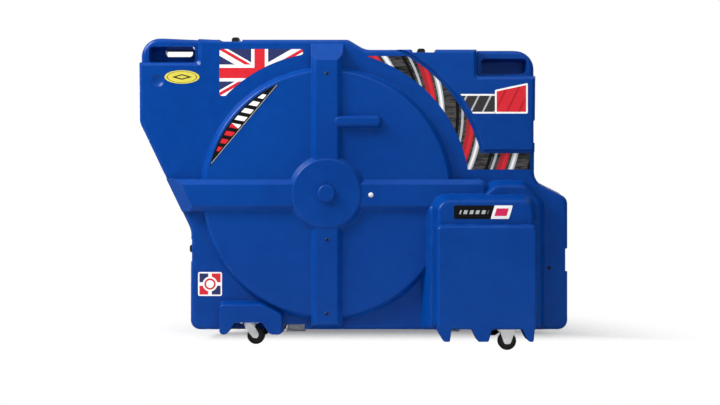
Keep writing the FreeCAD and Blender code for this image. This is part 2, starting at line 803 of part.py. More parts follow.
def hinge_pin():
    head_length = 1.5
    start = -mm("hinge_width") / 2
    shaft = cylinder("hinge_pin_shaft", "size.hinge_pin_radius", "size.hinge_width", along_x(start, 0, 0))
    heads = [cylinder(f"hinge_pin_head_{number}", "size.hinge_pin_radius * 1.5", f"{head_length}",
                      along_x(x, 0, 0))
             for number, x in enumerate((start - head_length, -start))]
    return fuse("hinge_pin", shaft, *heads)


HINGE_PLACES = [Placement(Vector(mm(side), PARTING_Y, mm("hinge_z")), Rotation())
                for side in ("hinge_left", "hinge_right")]


def hinge_rivet_places(way):
    deck_under = mm("hinge_roof") - mm("leaf")
    return [Placement(Vector(place.Base.x + x, PARTING_Y + way * HINGE_RIVET_Y, deck_under), POINT_DOWN)
            for place in HINGE_PLACES for x in (-HINGE_RIVET_X, HINGE_RIVET_X)]


hinge_rivet = rivet("hinge_rivet", 4, 1.8, 2.4, mm("leaf") + WALL)
keep(copies("base_hinge_leaves", hinge_leaf("base_leaf", 1, (0, 2, 4)), HINGE_PLACES), "base_hinge_leaves")
keep(copies("lid_hinge_leaves", hinge_leaf("lid_leaf", -1, (1, 3)), HINGE_PLACES), "lid_hinge_leaves")
keep(copies("hinge_pins", hinge_pin(), HINGE_PLACES), "hinge_pins")
keep(copies("hinge_rivets_base", hinge_rivet, hinge_rivet_places(1)), "hinge_rivets_base")
keep(copies("hinge_rivets_lid", hinge_rivet, hinge_rivet_places(-1)), "hinge_rivets_lid")


# Turn latches. Local frame of a station: X along the edge, Y towards the base, Z outwards

HOOK_FLOAT = 0.3
ROLL_RADIUS = 2
KEEPER_SIZE = (28, 22)
KEEPER_START = 8
RIDGE = (28, 3.5, 2.6)
RIDGE_START = 18.5
COLLAR = (10, 3)


def latch_plate():
    sheet = block("latch_plate_sheet", "size.latch_plate_width", "size.latch_plate_reach", "size.latch_sheet",
                  "-size.latch_plate_width / 2", "size.latch_plate_start", "0")
    hole = cylinder("latch_plate_hole", "size.spindle_radius + 0.15", "size.latch_sheet",
                    Placement(Vector(0, mm("spindle_place"), 0), Rotation()))
    return cut("latch_plate", sheet, hole)


def latch_keeper():
    width, reach = KEEPER_SIZE
    sheet = block("keeper_sheet", f"{width}", f"{reach}", "size.latch_sheet", f"-{width} / 2",
                  f"-{KEEPER_START} - {reach}", "0")
    ridge = block("keeper_ridge", f"{RIDGE[0]}", f"{RIDGE[1]}", f"size.latch_sheet + {RIDGE[2]}",
                  f"-{RIDGE[0]} / 2", f"-{RIDGE_START}", "0")
    return fuse("latch_keeper", sheet, ridge)


def latch_hook():
    """Draw plate with a slot round the spindle and a rolled tip over the lid's edge."""
    under = f"(size.latch_sheet + {HOOK_FLOAT})"
    slot_half = f"(size.spindle_radius + {HOOK_FLOAT})"
    tail = 12
    strip = block("hook_strip", "size.hook_width", f"size.hook_tip + size.spindle_place + {tail}",
                  "size.hook_sheet", "-size.hook_width / 2", "-size.hook_tip", under)
    roll_height = mm("latch_sheet") + HOOK_FLOAT + ROLL_RADIUS
    roll = cylinder("hook_roll", f"{ROLL_RADIUS}", "size.hook_width",
                    along_x(-mm("hook_width") / 2, -mm("hook_tip"), roll_height))
    slot = block("hook_slot", f"2 * {slot_half}", f"2 * {slot_half} + size.hook_travel", "10",
                 f"-{slot_half}", f"size.spindle_place - {slot_half} - size.hook_travel", "0")
    return cut("latch_hook", fuse("hook_body", strip, roll), slot)


def latch_wing(name):
    """Spindle, collar over the hook and the grip, for one station."""
    label = "latch_wing_" + name
    top = "size." + LATCHES[name]["wing"]
    y = mm("spindle_place")
    foot = mm("wing_foot")
    spindle = cylinder(label + "_spindle", "size.spindle_radius", f"size.wing_foot - {HOOK_FLOAT}",
                       Placement(Vector(0, y, HOOK_FLOAT), Rotation()))
    collar = cylinder(label + "_collar", f"{COLLAR[0]}", f"{COLLAR[1]}",
                      Placement(Vector(0, y, foot - COLLAR[1]), Rotation()))
    grip = block(label + "_grip", "size.wing_width", "size.wing_length", f"{top} - size.wing_foot",
                 "-size.wing_width / 2", "size.spindle_place - size.wing_length / 2", "size.wing_foot")
    height = mm(LATCHES[name]["wing"])
    soft_grip = fillet(label + "_soft_grip", grip, mm("wing_round"),
                       lambda edge: all(abs(v.Z - height) < 0.001 for v in edge.Vertexes)
                       and abs(edge.Vertexes[0].Y - edge.Vertexes[1].Y) > 1)
    wing = fuse(label, spindle, collar, soft_grip)
    wing.Placement = latch_place(name)
    return wing


def latch_rivet_places(spots):
    sheet_top = mm("latch_sheet")
    return [latch_place(name).multiply(Placement(Vector(x, y, sheet_top), Rotation()))
            for name in LATCHES for x, y in spots]


PLATE_RIVETS = [(x, y) for x in (-21, 21) for y in (12, 40)]
KEEPER_RIVETS = [(-9, -25), (9, -25)]
LATCH_PLACES = [latch_place(name) for name in LATCHES]

latch_rivet = rivet("latch_rivet", 3.5, 1.5, 2, mm("latch_sheet") + WALL)
keep(copies("latch_plates", latch_plate(), LATCH_PLACES), "latch_plates")
keep(copies("latch_keepers", latch_keeper(), LATCH_PLACES), "latch_keepers")
keep(copies("latch_rivets_base", latch_rivet, latch_rivet_places(PLATE_RIVETS)), "latch_rivets_base")
keep(copies("latch_rivets_lid", latch_rivet, latch_rivet_places(KEEPER_RIVETS)), "latch_rivets_lid")
hook_source = latch_hook()
for station in LATCHES:
    keep(latch_wing(station), "latch_wing_" + station)
    keep(copies("latch_hook_" + station, hook_source, [latch_place(station)]), "latch_hook_" + station)


# Casters. Local frame: the top of the mounting plate is Z = 0, the axles run along Y

FORK_GAP = 0.3
CROWN_HEIGHT = 3.2
SCREW_SPOTS = [(x, y) for x in (-22, 22) for y in (-18, 18)]


def centred_plate(label):
    return block(label, "size.caster_plate_length", "size.caster_plate_width", "size.caster_sheet",
                 "-size.caster_plate_length / 2", "-size.caster_plate_width / 2", "-size.caster_sheet")


def upright(label, radius, top, height):
    """Cylinder about the local Z, given by its top."""
    return cylinder(label, radius, f"{height}", Placement(Vector(0, 0, top - height), Rotation()))


def cheeks(label, corners):
    near = mm("cheek_gap") / 2
    far = near + mm("caster_sheet")
    return [solid_feature(f"{label}_cheek_{number}", prism(corners, low, high))
            for number, (low, high) in enumerate(((near, far), (-far, -near)))]


def axle_hole(label, x, z):
    return cylinder(label, "size.axle_radius + 0.05", "2 * size.cheek_gap", along_y(x, -mm("cheek_gap"), z))


def swivel_plate():
    sheet_under = -mm("caster_sheet")
    race = upright("swivel_race", "size.race_radius", sheet_under, mm("race_height"))
    hole = upright("swivel_plate_hole", "size.kingpin_radius", 1, mm("race_height") * 3)
    return cut("swivel_plate", fuse("swivel_plate_body", centred_plate("swivel_sheet"), race), hole)


CROWN_TOP = -mm("caster_sheet") - mm("race_height") - FORK_GAP
SWIVEL_AXLE_Z = mm("wheel_radius") - mm("swivel_height")
RIGID_AXLE_Z = mm("wheel_radius") - mm("rigid_height")


def swivel_fork():
    trail = mm("trail")
    crown = upright("fork_crown", "size.race_radius + 0.5", CROWN_TOP, CROWN_HEIGHT)
    crown_middle = CROWN_TOP - CROWN_HEIGHT / 2
    corners = [(-12, crown_middle, 1), (12, crown_middle, 1), (trail + 9, SWIVEL_AXLE_Z + 4, 8),
               (trail + 5, SWIVEL_AXLE_Z - 8, 6), (trail - 8, SWIVEL_AXLE_Z - 6, 6),
               (-12, crown_middle - 10, 6)]
    hole = upright("fork_hole", "size.kingpin_radius + size.bore_gap", 0, 20)
    body = fuse("fork_body", crown, *cheeks("fork", corners))
    return cut("swivel_fork", body, hole, axle_hole("fork_axle_hole", trail, SWIVEL_AXLE_Z))


def kingpin():
    crown_under = CROWN_TOP - CROWN_HEIGHT
    head_height = 3
    head_top = crown_under - FORK_GAP
    shaft = upright("kingpin_shaft", "size.kingpin_radius", 0, -head_top)
    head = upright("kingpin_head", "size.kingpin_radius * 1.6", head_top, head_height)
    return fuse("kingpin", shaft, head)


def rigid_fork():
    corners = [(-22, -1, 1), (22, -1, 1), (8, RIGID_AXLE_Z - 8, 7), (-8, RIGID_AXLE_Z - 8, 7)]
    body = fuse("rigid_body", centred_plate("rigid_sheet"), *cheeks("rigid", corners))
    return cut("rigid_fork", body, axle_hole("rigid_axle_hole", 0, RIGID_AXLE_Z))


def axle():
    half = mm("axle_length") / 2
    head = 3
    shaft = cylinder("axle_shaft", "size.axle_radius", "size.axle_length", along_y(0, -half, 0))
    ends = [cylinder(f"axle_end_{number}", "size.axle_radius * 1.7", f"{head}", along_y(0, y, 0))
            for number, y in enumerate((-half - head, half))]
    return fuse("axle", shaft, *ends)


def rounded_tyre():
    body = ring_body("tyre", "XZ_Plane", "size.wheel_radius", "size.wheel_core_radius", "size.tyre_width")
    doc.recompute()
    pad = body.Tip
    outer = [f"Edge{number}" for number, edge in enumerate(pad.Shape.Edges, start=1)
             if edge.Closed and abs(edge.Curve.Radius - mm("wheel_radius")) < 0.001]
    soft = body.newObject("PartDesign::Fillet", "tyre_shoulders")
    soft.Base = (pad, outer)
    soft.setExpression("Radius", "size.tyre_round")
    body.Tip = soft
    return body


def caster_place(x, y, height):
    return Placement(Vector(x, y, height), Rotation())


LID_CASTER_Y = PARTING_Y - mm("caster_depth")
BASE_CASTER_Y = PARTING_Y + mm("caster_depth")
POD_CASTER_Y = PARTING_Y - mm("pod_caster_depth")
SWIVELS = {
    "lid": caster_place(mm("left_caster_x"), LID_CASTER_Y, mm("swivel_height")),
    "base": caster_place(mm("left_caster_x"), BASE_CASTER_Y, mm("swivel_height")),
}
RIGIDS = {
    "lid": caster_place(mm("right_caster_x"), POD_CASTER_Y, mm("rigid_height")),
    "base": caster_place(mm("right_caster_x"), BASE_CASTER_Y, mm("rigid_height")),
}


def shifted(place, x, z):
    return place.multiply(Placement(Vector(x, 0, z), Rotation()))


def place_casters():
    plate, fork, pin, bracket = swivel_plate(), swivel_fork(), kingpin(), rigid_fork()
    bolt = axle()
    tyre = rounded_tyre()
    core = ring_body("wheel_core", "XZ_Plane", "size.wheel_core_radius", "size.axle_radius + size.bore_gap",
                     "size.wheel_hub_width")
    screw = rivet("caster_screw", 4, 1.8, 2.4, mm("caster_sheet") + WALL)
    for half in ("lid", "base"):
        keep(copies("swivel_plate_" + half, plate, [SWIVELS[half]]), "swivel_plate_" + half)
        keep(copies("swivel_fork_" + half, fork, [SWIVELS[half]]), "swivel_fork_" + half)
        keep(copies("kingpin_" + half, pin, [SWIVELS[half]]), "kingpin_" + half)
        keep(copies("rigid_fork_" + half, bracket, [RIGIDS[half]]), "rigid_fork_" + half)
        wheels = {
            half + "_left": shifted(SWIVELS[half], mm("trail"), SWIVEL_AXLE_Z),
            half + "_right": shifted(RIGIDS[half], 0, RIGID_AXLE_Z),
        }
        for name, place in wheels.items():
            keep(copies("caster_hub_" + name, core, [place]), "caster_hub_" + name)
            keep(copies("caster_tyre_" + name, tyre, [place]), "caster_tyre_" + name)
            keep(copies("caster_axle_" + name, bolt, [place]), "caster_axle_" + name)
        screws = [place.multiply(Placement(Vector(x, y, -mm("caster_sheet")), POINT_DOWN))
                  for place in (SWIVELS[half], RIGIDS[half]) for x, y in SCREW_SPOTS]
        keep(copies("caster_screws_" + half, screw, screws), "caster_screws_" + half)


place_casters()


# Anti-crush tube between the hubs: it stands in a cup on the base and ends just short of the lid's pad

POLE_REST = 0.6
CUP_DEPTH = 29
CUP_FLANGE = (34, 3)
CUP_WALL = 5
FOAM_GAP = 2
BUMPER_LENGTH = 15
BUMPER_OVERLAP = 6
LID_HUB_INSIDE = mm("disc_depth") - WALL
BASE_HUB_INSIDE = mm("rear_disc_depth") - WALL


def hub_cylinder(label, radius, rear, front):
    """Cylinder on the hub axis between two depths; depths behind the parting plane are negative."""
    return cylinder(label, radius, f"{front - rear}", along_y(HUB[0], PARTING_Y - front, HUB[1]))


def crush_pole():
    rear = CUP_FLANGE[1] - BASE_HUB_INSIDE
    front = LID_HUB_INSIDE - mm("hub_pad_sheet") - POLE_REST - BUMPER_LENGTH + BUMPER_OVERLAP
    length = front - rear
    bore_radius = "size.pole_radius - size.pole_wall"
    pole = ring_body("crush_pole", "XZ_Plane", "size.pole_radius", bore_radius, f"{length}")
    pole.Placement = Placement(Vector(HUB[0], PARTING_Y - (front + rear) / 2, HUB[1]), Rotation())
    return pole


def pole_socket():
    floor = -BASE_HUB_INSIDE
    flange = hub_cylinder("socket_flange", f"{CUP_FLANGE[0]}", floor, floor + CUP_FLANGE[1])
    cup = hub_cylinder("socket_cup", f"size.pole_radius + {CUP_WALL}", floor, floor + CUP_DEPTH)
    bore = hub_cylinder("socket_bore", "size.pole_radius + 0.1", floor + CUP_FLANGE[1], floor + CUP_DEPTH)
    return cut("pole_socket", fuse("socket_body", flange, cup), bore)


def pole_bumper():
    front = LID_HUB_INSIDE - mm("hub_pad_sheet") - POLE_REST
    rear = front - BUMPER_LENGTH
    cap = hub_cylinder("bumper_cap", "size.pole_radius + 4", rear, front)
    bore = hub_cylinder("bumper_bore", "size.pole_radius + 0.05", rear, rear + BUMPER_OVERLAP)
    return cut("pole_bumper", cap, bore)


keep(crush_pole(), "crush_pole")
keep(pole_socket(), "pole_socket")
keep(pole_bumper(), "pole_bumper")
pad_start = LID_HUB_INSIDE - mm("hub_pad_sheet")
keep(hub_cylinder("hub_pad", "size.hub_pad_radius", pad_start, LID_HUB_INSIDE), "hub_pad")


# Foam linings against the panels

FOAM_CLEARANCE = 6
FOAM_REST = 0.5
DRUM_WINDOW = 354
POD_WINDOW = rectangle(170, 700, 0, 486, 20)
LOW_WINDOW = rectangle(-470, 700, 0, 130, 20)
FRAME_STRAP_ENDS = (-440, 290)
FRAME_STRAP_HEIGHTS = (250, 600)
STRAP_FOOT = 30


def foam_sheet(recesses):
    end = mm("panel_depth") - WALL - FOAM_REST
    grown = WALL + FOAM_CLEARANCE
    zones = [handle_zone(handle, grown) for handle in HANDLES.values()]
    sheet = prism(RIM, mm("foam_start"), end, mm("foam_edge") + mm("draft") * end)
    return sheet.cut(zones + edge_recesses(grown) + recesses(grown))


def foam_window(corners):
    return prism(corners, 0, THROUGH)


def base_foam():
    cup_hole = mm("pole_radius") + CUP_WALL + FOAM_GAP
    holes = [Part.makeCylinder(cup_hole, THROUGH, Vector(HUB[0], 0, HUB[1]), FORWARDS)]
    left, right = FRAME_STRAP_ENDS
    half = mm("strap_width") / 2 + FOAM_GAP
    for z in FRAME_STRAP_HEIGHTS:
        holes.append(foam_window(rectangle(left - 3, left + STRAP_FOOT + 8, z - half, z + half, 4)))
        holes.append(foam_window(rectangle(right - STRAP_FOOT - 8, right + 3, z - half, z + half, 4)))
    return foam_sheet(base_recesses).cut(holes)


def lid_foam():
    """Open over the wheel drum and the pod."""
    well = Part.makeCylinder(DRUM_WINDOW, THROUGH, Vector(HUB[0], 0, HUB[1]), FORWARDS)
    return foam_sheet(lid_recesses).cut([well, foam_window(POD_WINDOW), foam_window(LOW_WINDOW)])


keep(solid_feature("base_foam", to_rear(base_foam())), "base_foam")
keep(solid_feature("lid_foam", to_front(lid_foam())), "lid_foam")


# Webbing straps, their buckles and rivets

LID_STRAPS = (
    {"x": HUB[0], "z": 764, "low": 690, "high": 788, "depth": "bar_depth"},
    {"x": HUB[0], "z": 299, "low": 205, "high": 378, "depth": "bar_depth"},
    {"x": HUB[0], "z": 92, "low": 78, "high": 176, "depth": "bar_depth"},
    {"x": 557, "z": 218, "low": 160, "high": 300, "depth": "panel_depth"},
)
BUCKLE = (38, 30, 3.5)
BUCKLE_SLOT = (27, 7)
BUCKLE_BAR = 4


def lid_strap(number, strap):
    inside = f"(size.{strap['depth']} - size.wall)"
    length = strap["high"] - strap["low"]
    return block(f"lid_strap_{number}", "size.strap_width", "size.strap_sheet", f"{length}",
                 f"{strap['x']} - size.strap_width / 2", f"size.parting_y - {inside}", f"{strap['low']}")


def frame_strap(number, z):
    """Band over the base foam with an end let down to the panel on each side."""
    left, right = FRAME_STRAP_ENDS
    band_y = "size.parting_y + size.foam_start - size.strap_sheet"
    low = f"{z} - size.strap_width / 2"
    panel_y = "size.parting_y + size.panel_depth - size.wall - size.strap_sheet"
    drop = "size.panel_depth - size.wall - size.foam_start + size.strap_sheet"
    pieces = [block(f"frame_band_{number}", f"{right - left}", "size.strap_sheet", "size.strap_width",
                    f"{left}", band_y, low)]
    for side, leg_x, foot_x in (("left", f"{left}", f"{left}"),
                                ("right", f"{right} - size.strap_sheet", f"{right - STRAP_FOOT}")):
        pieces.append(block(f"frame_leg_{side}_{number}", "size.strap_sheet", drop, "size.strap_width",
                            leg_x, band_y, low))
        pieces.append(block(f"frame_foot_{side}_{number}", f"{STRAP_FOOT}", "size.strap_sheet",
                            "size.strap_width", foot_x, panel_y, low))
    return fuse(f"frame_strap_{number}", *pieces)


def buckle():
    """Ladder buckle in the XZ plane, with its back on Y = 0 and its slots along X."""
    width, height, sheet = BUCKLE
    slot_width, slot_height = BUCKLE_SLOT
    frame = block("buckle_frame", f"{width}", f"{sheet}", f"{height}", f"-{width} / 2", "0", f"-{height} / 2")
    slot_starts = (BUCKLE_BAR / 2, -BUCKLE_BAR / 2 - slot_height)
    slots = [block(f"buckle_slot_{number}", f"{slot_width}", f"{sheet}", f"{slot_height}",
                   f"-{slot_width} / 2", "0", f"{low}") for number, low in enumerate(slot_starts)]
    return cut("buckle", frame, *slots)


def compound(label, items):
    group = doc.addObject("Part::Compound", label)
    group.Links = items
    return group


def place_straps():
    clip = buckle()
    lid_straps = [lid_strap(number, strap) for number, strap in enumerate(LID_STRAPS)]
    keep(compound("wheel_straps_lid", lid_straps), "wheel_straps_lid")
    frame_straps = [frame_strap(number, z) for number, z in enumerate(FRAME_STRAP_HEIGHTS)]
    keep(compound("frame_straps_base", frame_straps), "frame_straps_base")
    lid_clips = []
    for strap in LID_STRAPS:
        y = PARTING_Y - mm(strap["depth"]) + WALL + mm("strap_sheet")
        far_end = max(strap["low"], strap["high"], key=lambda height: abs(height - strap["z"]))
        lid_clips.append(Placement(Vector(strap["x"], y, (strap["z"] + far_end) / 2), Rotation()))
    keep(copies("buckles_lid", clip, lid_clips), "buckles_lid")
    band_front = PARTING_Y + mm("foam_start") - mm("strap_sheet") - BUCKLE[2]
    upright_clip = Rotation(Vector(0, 1, 0), 90)
    base_clips = [Placement(Vector(120, band_front, z), upright_clip) for z in FRAME_STRAP_HEIGHTS]
    keep(copies("buckles_base", clip, base_clips), "buckles_base")

    strap_rivet = rivet("strap_rivet", mm("rivet_radius"), 2.5, 2.5, WALL + mm("strap_sheet"))
    lid_rivets = [Placement(Vector(strap["x"], PARTING_Y - mm(strap["depth"]), strap["z"]), POINT_FRONT)
                  for strap in LID_STRAPS]
    keep(copies("strap_rivets_lid", strap_rivet, lid_rivets), "strap_rivets_lid")
    left, right = FRAME_STRAP_ENDS
    base_rivets = [Placement(Vector(x, PARTING_Y + mm("panel_depth"), z), POINT_REAR)
                   for x in (left + STRAP_FOOT / 2, right - STRAP_FOOT / 2) for z in FRAME_STRAP_HEIGHTS]
    keep(copies("strap_rivets_base", strap_rivet, base_rivets), "strap_rivets_base")
    hub_screw = rivet("hub_screw", 7, 3, 3, WALL)
    hub_screw.Placement = Placement(Vector(50, PARTING_Y - mm("bar_depth"), 424), POINT_FRONT)
    keep(hub_screw, "hub_screw")


place_straps()


# Check and write

def check_document():
    doc.recompute()
    broken = [item.Name for item in doc.Objects if {"Invalid", "Error"} & set(item.State)]
    if broken:
        raise RuntimeError(f"failed objects: {broken}")
    for item in nodes:
        shape = Part.getShape(item)
        if shape.isNull() or not shape.isValid():
            raise RuntimeError(f"bad shape: {item.Label}")


def write_nodes():
    os.makedirs("parts", exist_ok=True)
    for item in nodes:
        shape = Part.getShape(item)
        shape.exportStep(f"parts/{item.Label}.step")
        print(f"{item.Label}: {len(shape.Solids)} solids, {shape.Volume / 1000:.1f} cm3")


check_document()
write_nodes()
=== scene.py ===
import math

import bpy
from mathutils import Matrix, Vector


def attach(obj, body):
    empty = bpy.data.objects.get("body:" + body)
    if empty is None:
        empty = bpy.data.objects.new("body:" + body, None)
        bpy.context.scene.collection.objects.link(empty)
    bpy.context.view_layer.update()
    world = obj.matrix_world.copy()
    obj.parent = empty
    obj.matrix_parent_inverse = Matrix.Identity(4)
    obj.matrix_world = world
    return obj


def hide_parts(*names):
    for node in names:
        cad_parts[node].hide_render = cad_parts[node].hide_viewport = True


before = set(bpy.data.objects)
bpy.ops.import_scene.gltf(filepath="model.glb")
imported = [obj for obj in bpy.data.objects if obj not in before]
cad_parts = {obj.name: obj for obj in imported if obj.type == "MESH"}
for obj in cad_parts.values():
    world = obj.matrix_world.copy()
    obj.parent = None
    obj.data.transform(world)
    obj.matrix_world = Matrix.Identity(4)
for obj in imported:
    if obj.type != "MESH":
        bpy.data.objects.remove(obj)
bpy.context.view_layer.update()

# Bike travel case, dressed for a studio picture. Metres; X along the case, Y to the rear, Z up.

# Places on the front half, as the moulding has them
HUB = (-0.074, 0.428)
PANEL_FACE = -0.062
HIGH_PANEL_FACE = -0.074
DRUM_FACE = -0.090
POD_FACE = -0.167


# Selecting and applying

def take(obj):
    bpy.ops.object.select_all(action="DESELECT")
    obj.select_set(True)
    bpy.context.view_layer.objects.active = obj


def named(name):
    obj = bpy.context.object
    obj.name = name
    obj.data.name = name
    return obj


def apply_modifier(obj, kind, **settings):
    take(obj)
    modifier = obj.modifiers.new(kind.lower(), kind)
    for key, setting in settings.items():
        setattr(modifier, key, setting)
    bpy.ops.object.modifier_apply(modifier=modifier.name)


def finish_with(obj, material):
    obj.data.materials.clear()
    obj.data.materials.append(material)


# Node helpers for the finishes

def new_finish(name, **settings):
    material = bpy.data.materials.new(name)
    material.use_nodes = True
    shader = material.node_tree.nodes["Principled BSDF"]
    for key, setting in settings.items():
        shader.inputs[key.replace("_", " ")].default_value = setting
    return material, material.node_tree, shader


def feed(tree, socket, given):
    if isinstance(given, bpy.types.NodeSocket):
        tree.links.new(given, socket)
    else:
        socket.default_value = given


def node(tree, kind, settings=None, **inputs):
    made = tree.nodes.new("ShaderNode" + kind)
    for key, setting in (settings or {}).items():
        setattr(made, key, setting)
    for key, given in inputs.items():
        feed(tree, made.inputs[key.replace("_", " ")], given)
    return made


def calc(tree, operation, *terms):
    made = tree.nodes.new("ShaderNodeMath")
    made.operation = operation
    for socket, term in zip(made.inputs, terms):
        feed(tree, socket, term)
    return made.outputs[0]


def times(tree, first, second):
    return calc(tree, "MULTIPLY", first, second)


def mixed(tree, factor, first, second):
    """Mixes two colours; the colour sockets of the node are found by type, as their names repeat."""
    made = tree.nodes.new("ShaderNodeMix")
    made.data_type = "RGBA"
    feed(tree, made.inputs["Factor"], factor)
    colours = [socket for socket in made.inputs if socket.type == "RGBA"]
    feed(tree, colours[0], first)
    feed(tree, colours[1], second)
    return next(socket for socket in made.outputs if socket.type == "RGBA")


def ramped(tree, factor, low, high, to_low=0.0, to_high=1.0):
    made = node(tree, "MapRange", {"interpolation_type": "SMOOTHSTEP"}, Value=factor, From_Min=low,
                From_Max=high, To_Min=to_low, To_Max=to_high)
    return made.outputs["Result"]


def here(tree):
    return tree.nodes.new("ShaderNodeTexCoord").outputs["Object"]


def stretched(tree, scale, turn=(0, 0, 0)):
    return node(tree, "Mapping", Vector=here(tree), Scale=scale, Rotation=turn).outputs["Vector"]


def noise(tree, scale, detail=2.0, vector=None, roughness=0.5):
    return node(tree, "TexNoise", Vector=vector or here(tree), Scale=scale, Detail=detail,
                Roughness=roughness).outputs["Fac"]


def pebbles(tree, scale):
    cells = node(tree, "TexVoronoi", {"feature": "SMOOTH_F1"}, Vector=here(tree), Scale=scale)
    return cells.outputs["Distance"]


def ribs(tree, direction, scale):
    wave = node(tree, "TexWave", {"bands_direction": direction}, Vector=here(tree), Scale=scale,
                Distortion=0.4, Detail=1.0)
    return wave.outputs["Fac"]


def coloured(tree, shader, colour):
    tree.links.new(colour, shader.inputs["Base Color"])


def roughened(tree, shader, roughness):
    tree.links.new(roughness, shader.inputs["Roughness"])


def bumped(tree, shader, height, distance, strength, lower=None):
    bump = node(tree, "Bump", Height=height, Distance=distance, Strength=strength)
    if lower is not None:
        tree.links.new(lower, bump.inputs["Normal"])
    tree.links.new(bump.outputs["Normal"], shader.inputs["Normal"])
    return bump.outputs["Normal"]


def edge_wear(tree, radius, low, high):
    """High along the corners of a shape, broken up so that it looks rubbed."""
    rounded = node(tree, "Bevel", {"samples": 4}, Radius=radius).outputs["Normal"]
    true_normal = tree.nodes.new("ShaderNodeNewGeometry").outputs["Normal"]
    agreement = node(tree, "VectorMath", {"operation": "DOT_PRODUCT"})
    tree.links.new(rounded, agreement.inputs[0])
    tree.links.new(true_normal, agreement.inputs[1])
    turn = calc(tree, "SUBTRACT", 1.0, agreement.outputs["Value"])
    patches = ramped(tree, noise(tree, scale=38, detail=5), 0.35, 0.7)
    return times(tree, ramped(tree, turn, low, high), patches)


# Finishes of the case and its hardware

def shell_plastic():
    deep_blue = (0.0004, 0.036, 0.222, 1)
    clear_blue = (0.0006, 0.048, 0.270, 1)
    scuff_blue = (0.012, 0.110, 0.400, 1)
    rubbed_blue = (0.10, 0.20, 0.50, 1)
    cloud_share, mottle_share, scuff_share, wear_share, wear_roughness = 0.7, 0.3, 0.12, 0.30, 0.18
    material, tree, shader = new_finish("blue_moulded_plastic", IOR=1.47, Specular_IOR_Level=0.20)
    cloud = noise(tree, scale=2.6, detail=4)
    mottle = noise(tree, scale=34, detail=3)
    tone = calc(tree, "ADD", times(tree, cloud, cloud_share), times(tree, mottle, mottle_share))
    blue = mixed(tree, ramped(tree, tone, 0.3, 0.7), deep_blue, clear_blue)
    streaked = stretched(tree, (1.0, 1.0, 9.0), (0, 0.5, 0))
    streaks = noise(tree, scale=30, detail=6, vector=streaked, roughness=0.7)
    scuff = ramped(tree, streaks, 0.66, 0.80)
    wear = edge_wear(tree, radius=0.005, low=0.04, high=0.22)
    scuffed = mixed(tree, times(tree, scuff, scuff_share), blue, scuff_blue)
    coloured(tree, shader, mixed(tree, times(tree, wear, wear_share), scuffed, rubbed_blue))
    smooth = ramped(tree, mottle, 0.3, 0.7, to_low=0.28, to_high=0.32)
    roughened(tree, shader, calc(tree, "MULTIPLY_ADD", wear, wear_roughness, smooth))
    ripple = bumped(tree, shader, noise(tree, scale=16, detail=2), distance=0.0012, strength=0.22)
    bumped(tree, shader, pebbles(tree, scale=520), distance=0.00010, strength=0.2, lower=ripple)
    return material


def rim_rubber():
    black = (0.005, 0.005, 0.006, 1)
    dusty = (0.014, 0.014, 0.016, 1)
    material, tree, shader = new_finish("black_seal_rubber", Specular_IOR_Level=0.15)
    dust = noise(tree, scale=45, detail=5)
    coloured(tree, shader, mixed(tree, ramped(tree, dust, 0.45, 0.75), black, dusty))
    roughened(tree, shader, ramped(tree, dust, 0.3, 0.8, to_low=0.6, to_high=0.85))
    bumped(tree, shader, noise(tree, scale=700, detail=2), distance=0.0002, strength=0.4)
    return material


def zinc_plate(name, pale, grey, smooth):
    """Plated steel: fine spangle in two tones with a few stains."""
    light = (pale, pale, 0.99 * pale, 1)
    shaded = (grey, grey, 1.02 * grey, 1)
    stained = (0.6 * grey, 0.57 * grey, 0.52 * grey, 1)
    shade_share = 0.5
    material, tree, shader = new_finish(name, Metallic=0.4)
    spangle = node(tree, "TexVoronoi", Vector=here(tree), Scale=260).outputs["Color"]
    shade = node(tree, "SeparateColor", Color=spangle).outputs["Red"]
    stain = noise(tree, scale=60, detail=5)
    bright = mixed(tree, times(tree, shade, shade_share), light, shaded)
    stains = ramped(tree, stain, 0.6, 0.8, to_low=0.0, to_high=0.35)
    coloured(tree, shader, mixed(tree, stains, bright, stained))
    roughened(tree, shader, ramped(tree, stain, 0.3, 0.8, to_low=smooth, to_high=smooth + 0.20))
    bumped(tree, shader, noise(tree, scale=500, detail=3), distance=0.00008, strength=0.4)
    return material


def black_coat():
    black = (0.008, 0.008, 0.009, 1)
    faded = (0.018, 0.018, 0.020, 1)
    bare_steel = (0.30, 0.30, 0.31, 1)
    wear_share = 0.5
    material, tree, shader = new_finish("black_powder_coat", Specular_IOR_Level=0.5)
    wear = edge_wear(tree, radius=0.0015, low=0.05, high=0.30)
    speck = noise(tree, scale=900, detail=2)
    dark = mixed(tree, ramped(tree, noise(tree, scale=50, detail=4), 0.4, 0.7), black, faded)
    coloured(tree, shader, mixed(tree, times(tree, wear, wear_share), dark, bare_steel))
    roughened(tree, shader, ramped(tree, speck, 0.3, 0.7, to_low=0.32, to_high=0.50))
    bumped(tree, shader, speck, distance=0.00018, strength=0.5)
    return material


def black_plastic():
    black = (0.010, 0.010, 0.011, 1)
    hazy = (0.022, 0.022, 0.024, 1)
    material, tree, shader = new_finish("black_moulded_plastic", Specular_IOR_Level=0.45)
    haze = noise(tree, scale=70, detail=4)
    coloured(tree, shader, mixed(tree, ramped(tree, haze, 0.35, 0.7), black, hazy))
    roughened(tree, shader, ramped(tree, haze, 0.3, 0.7, to_low=0.38, to_high=0.55))
    bumped(tree, shader, pebbles(tree, scale=900), distance=0.00012, strength=0.5)
    return material


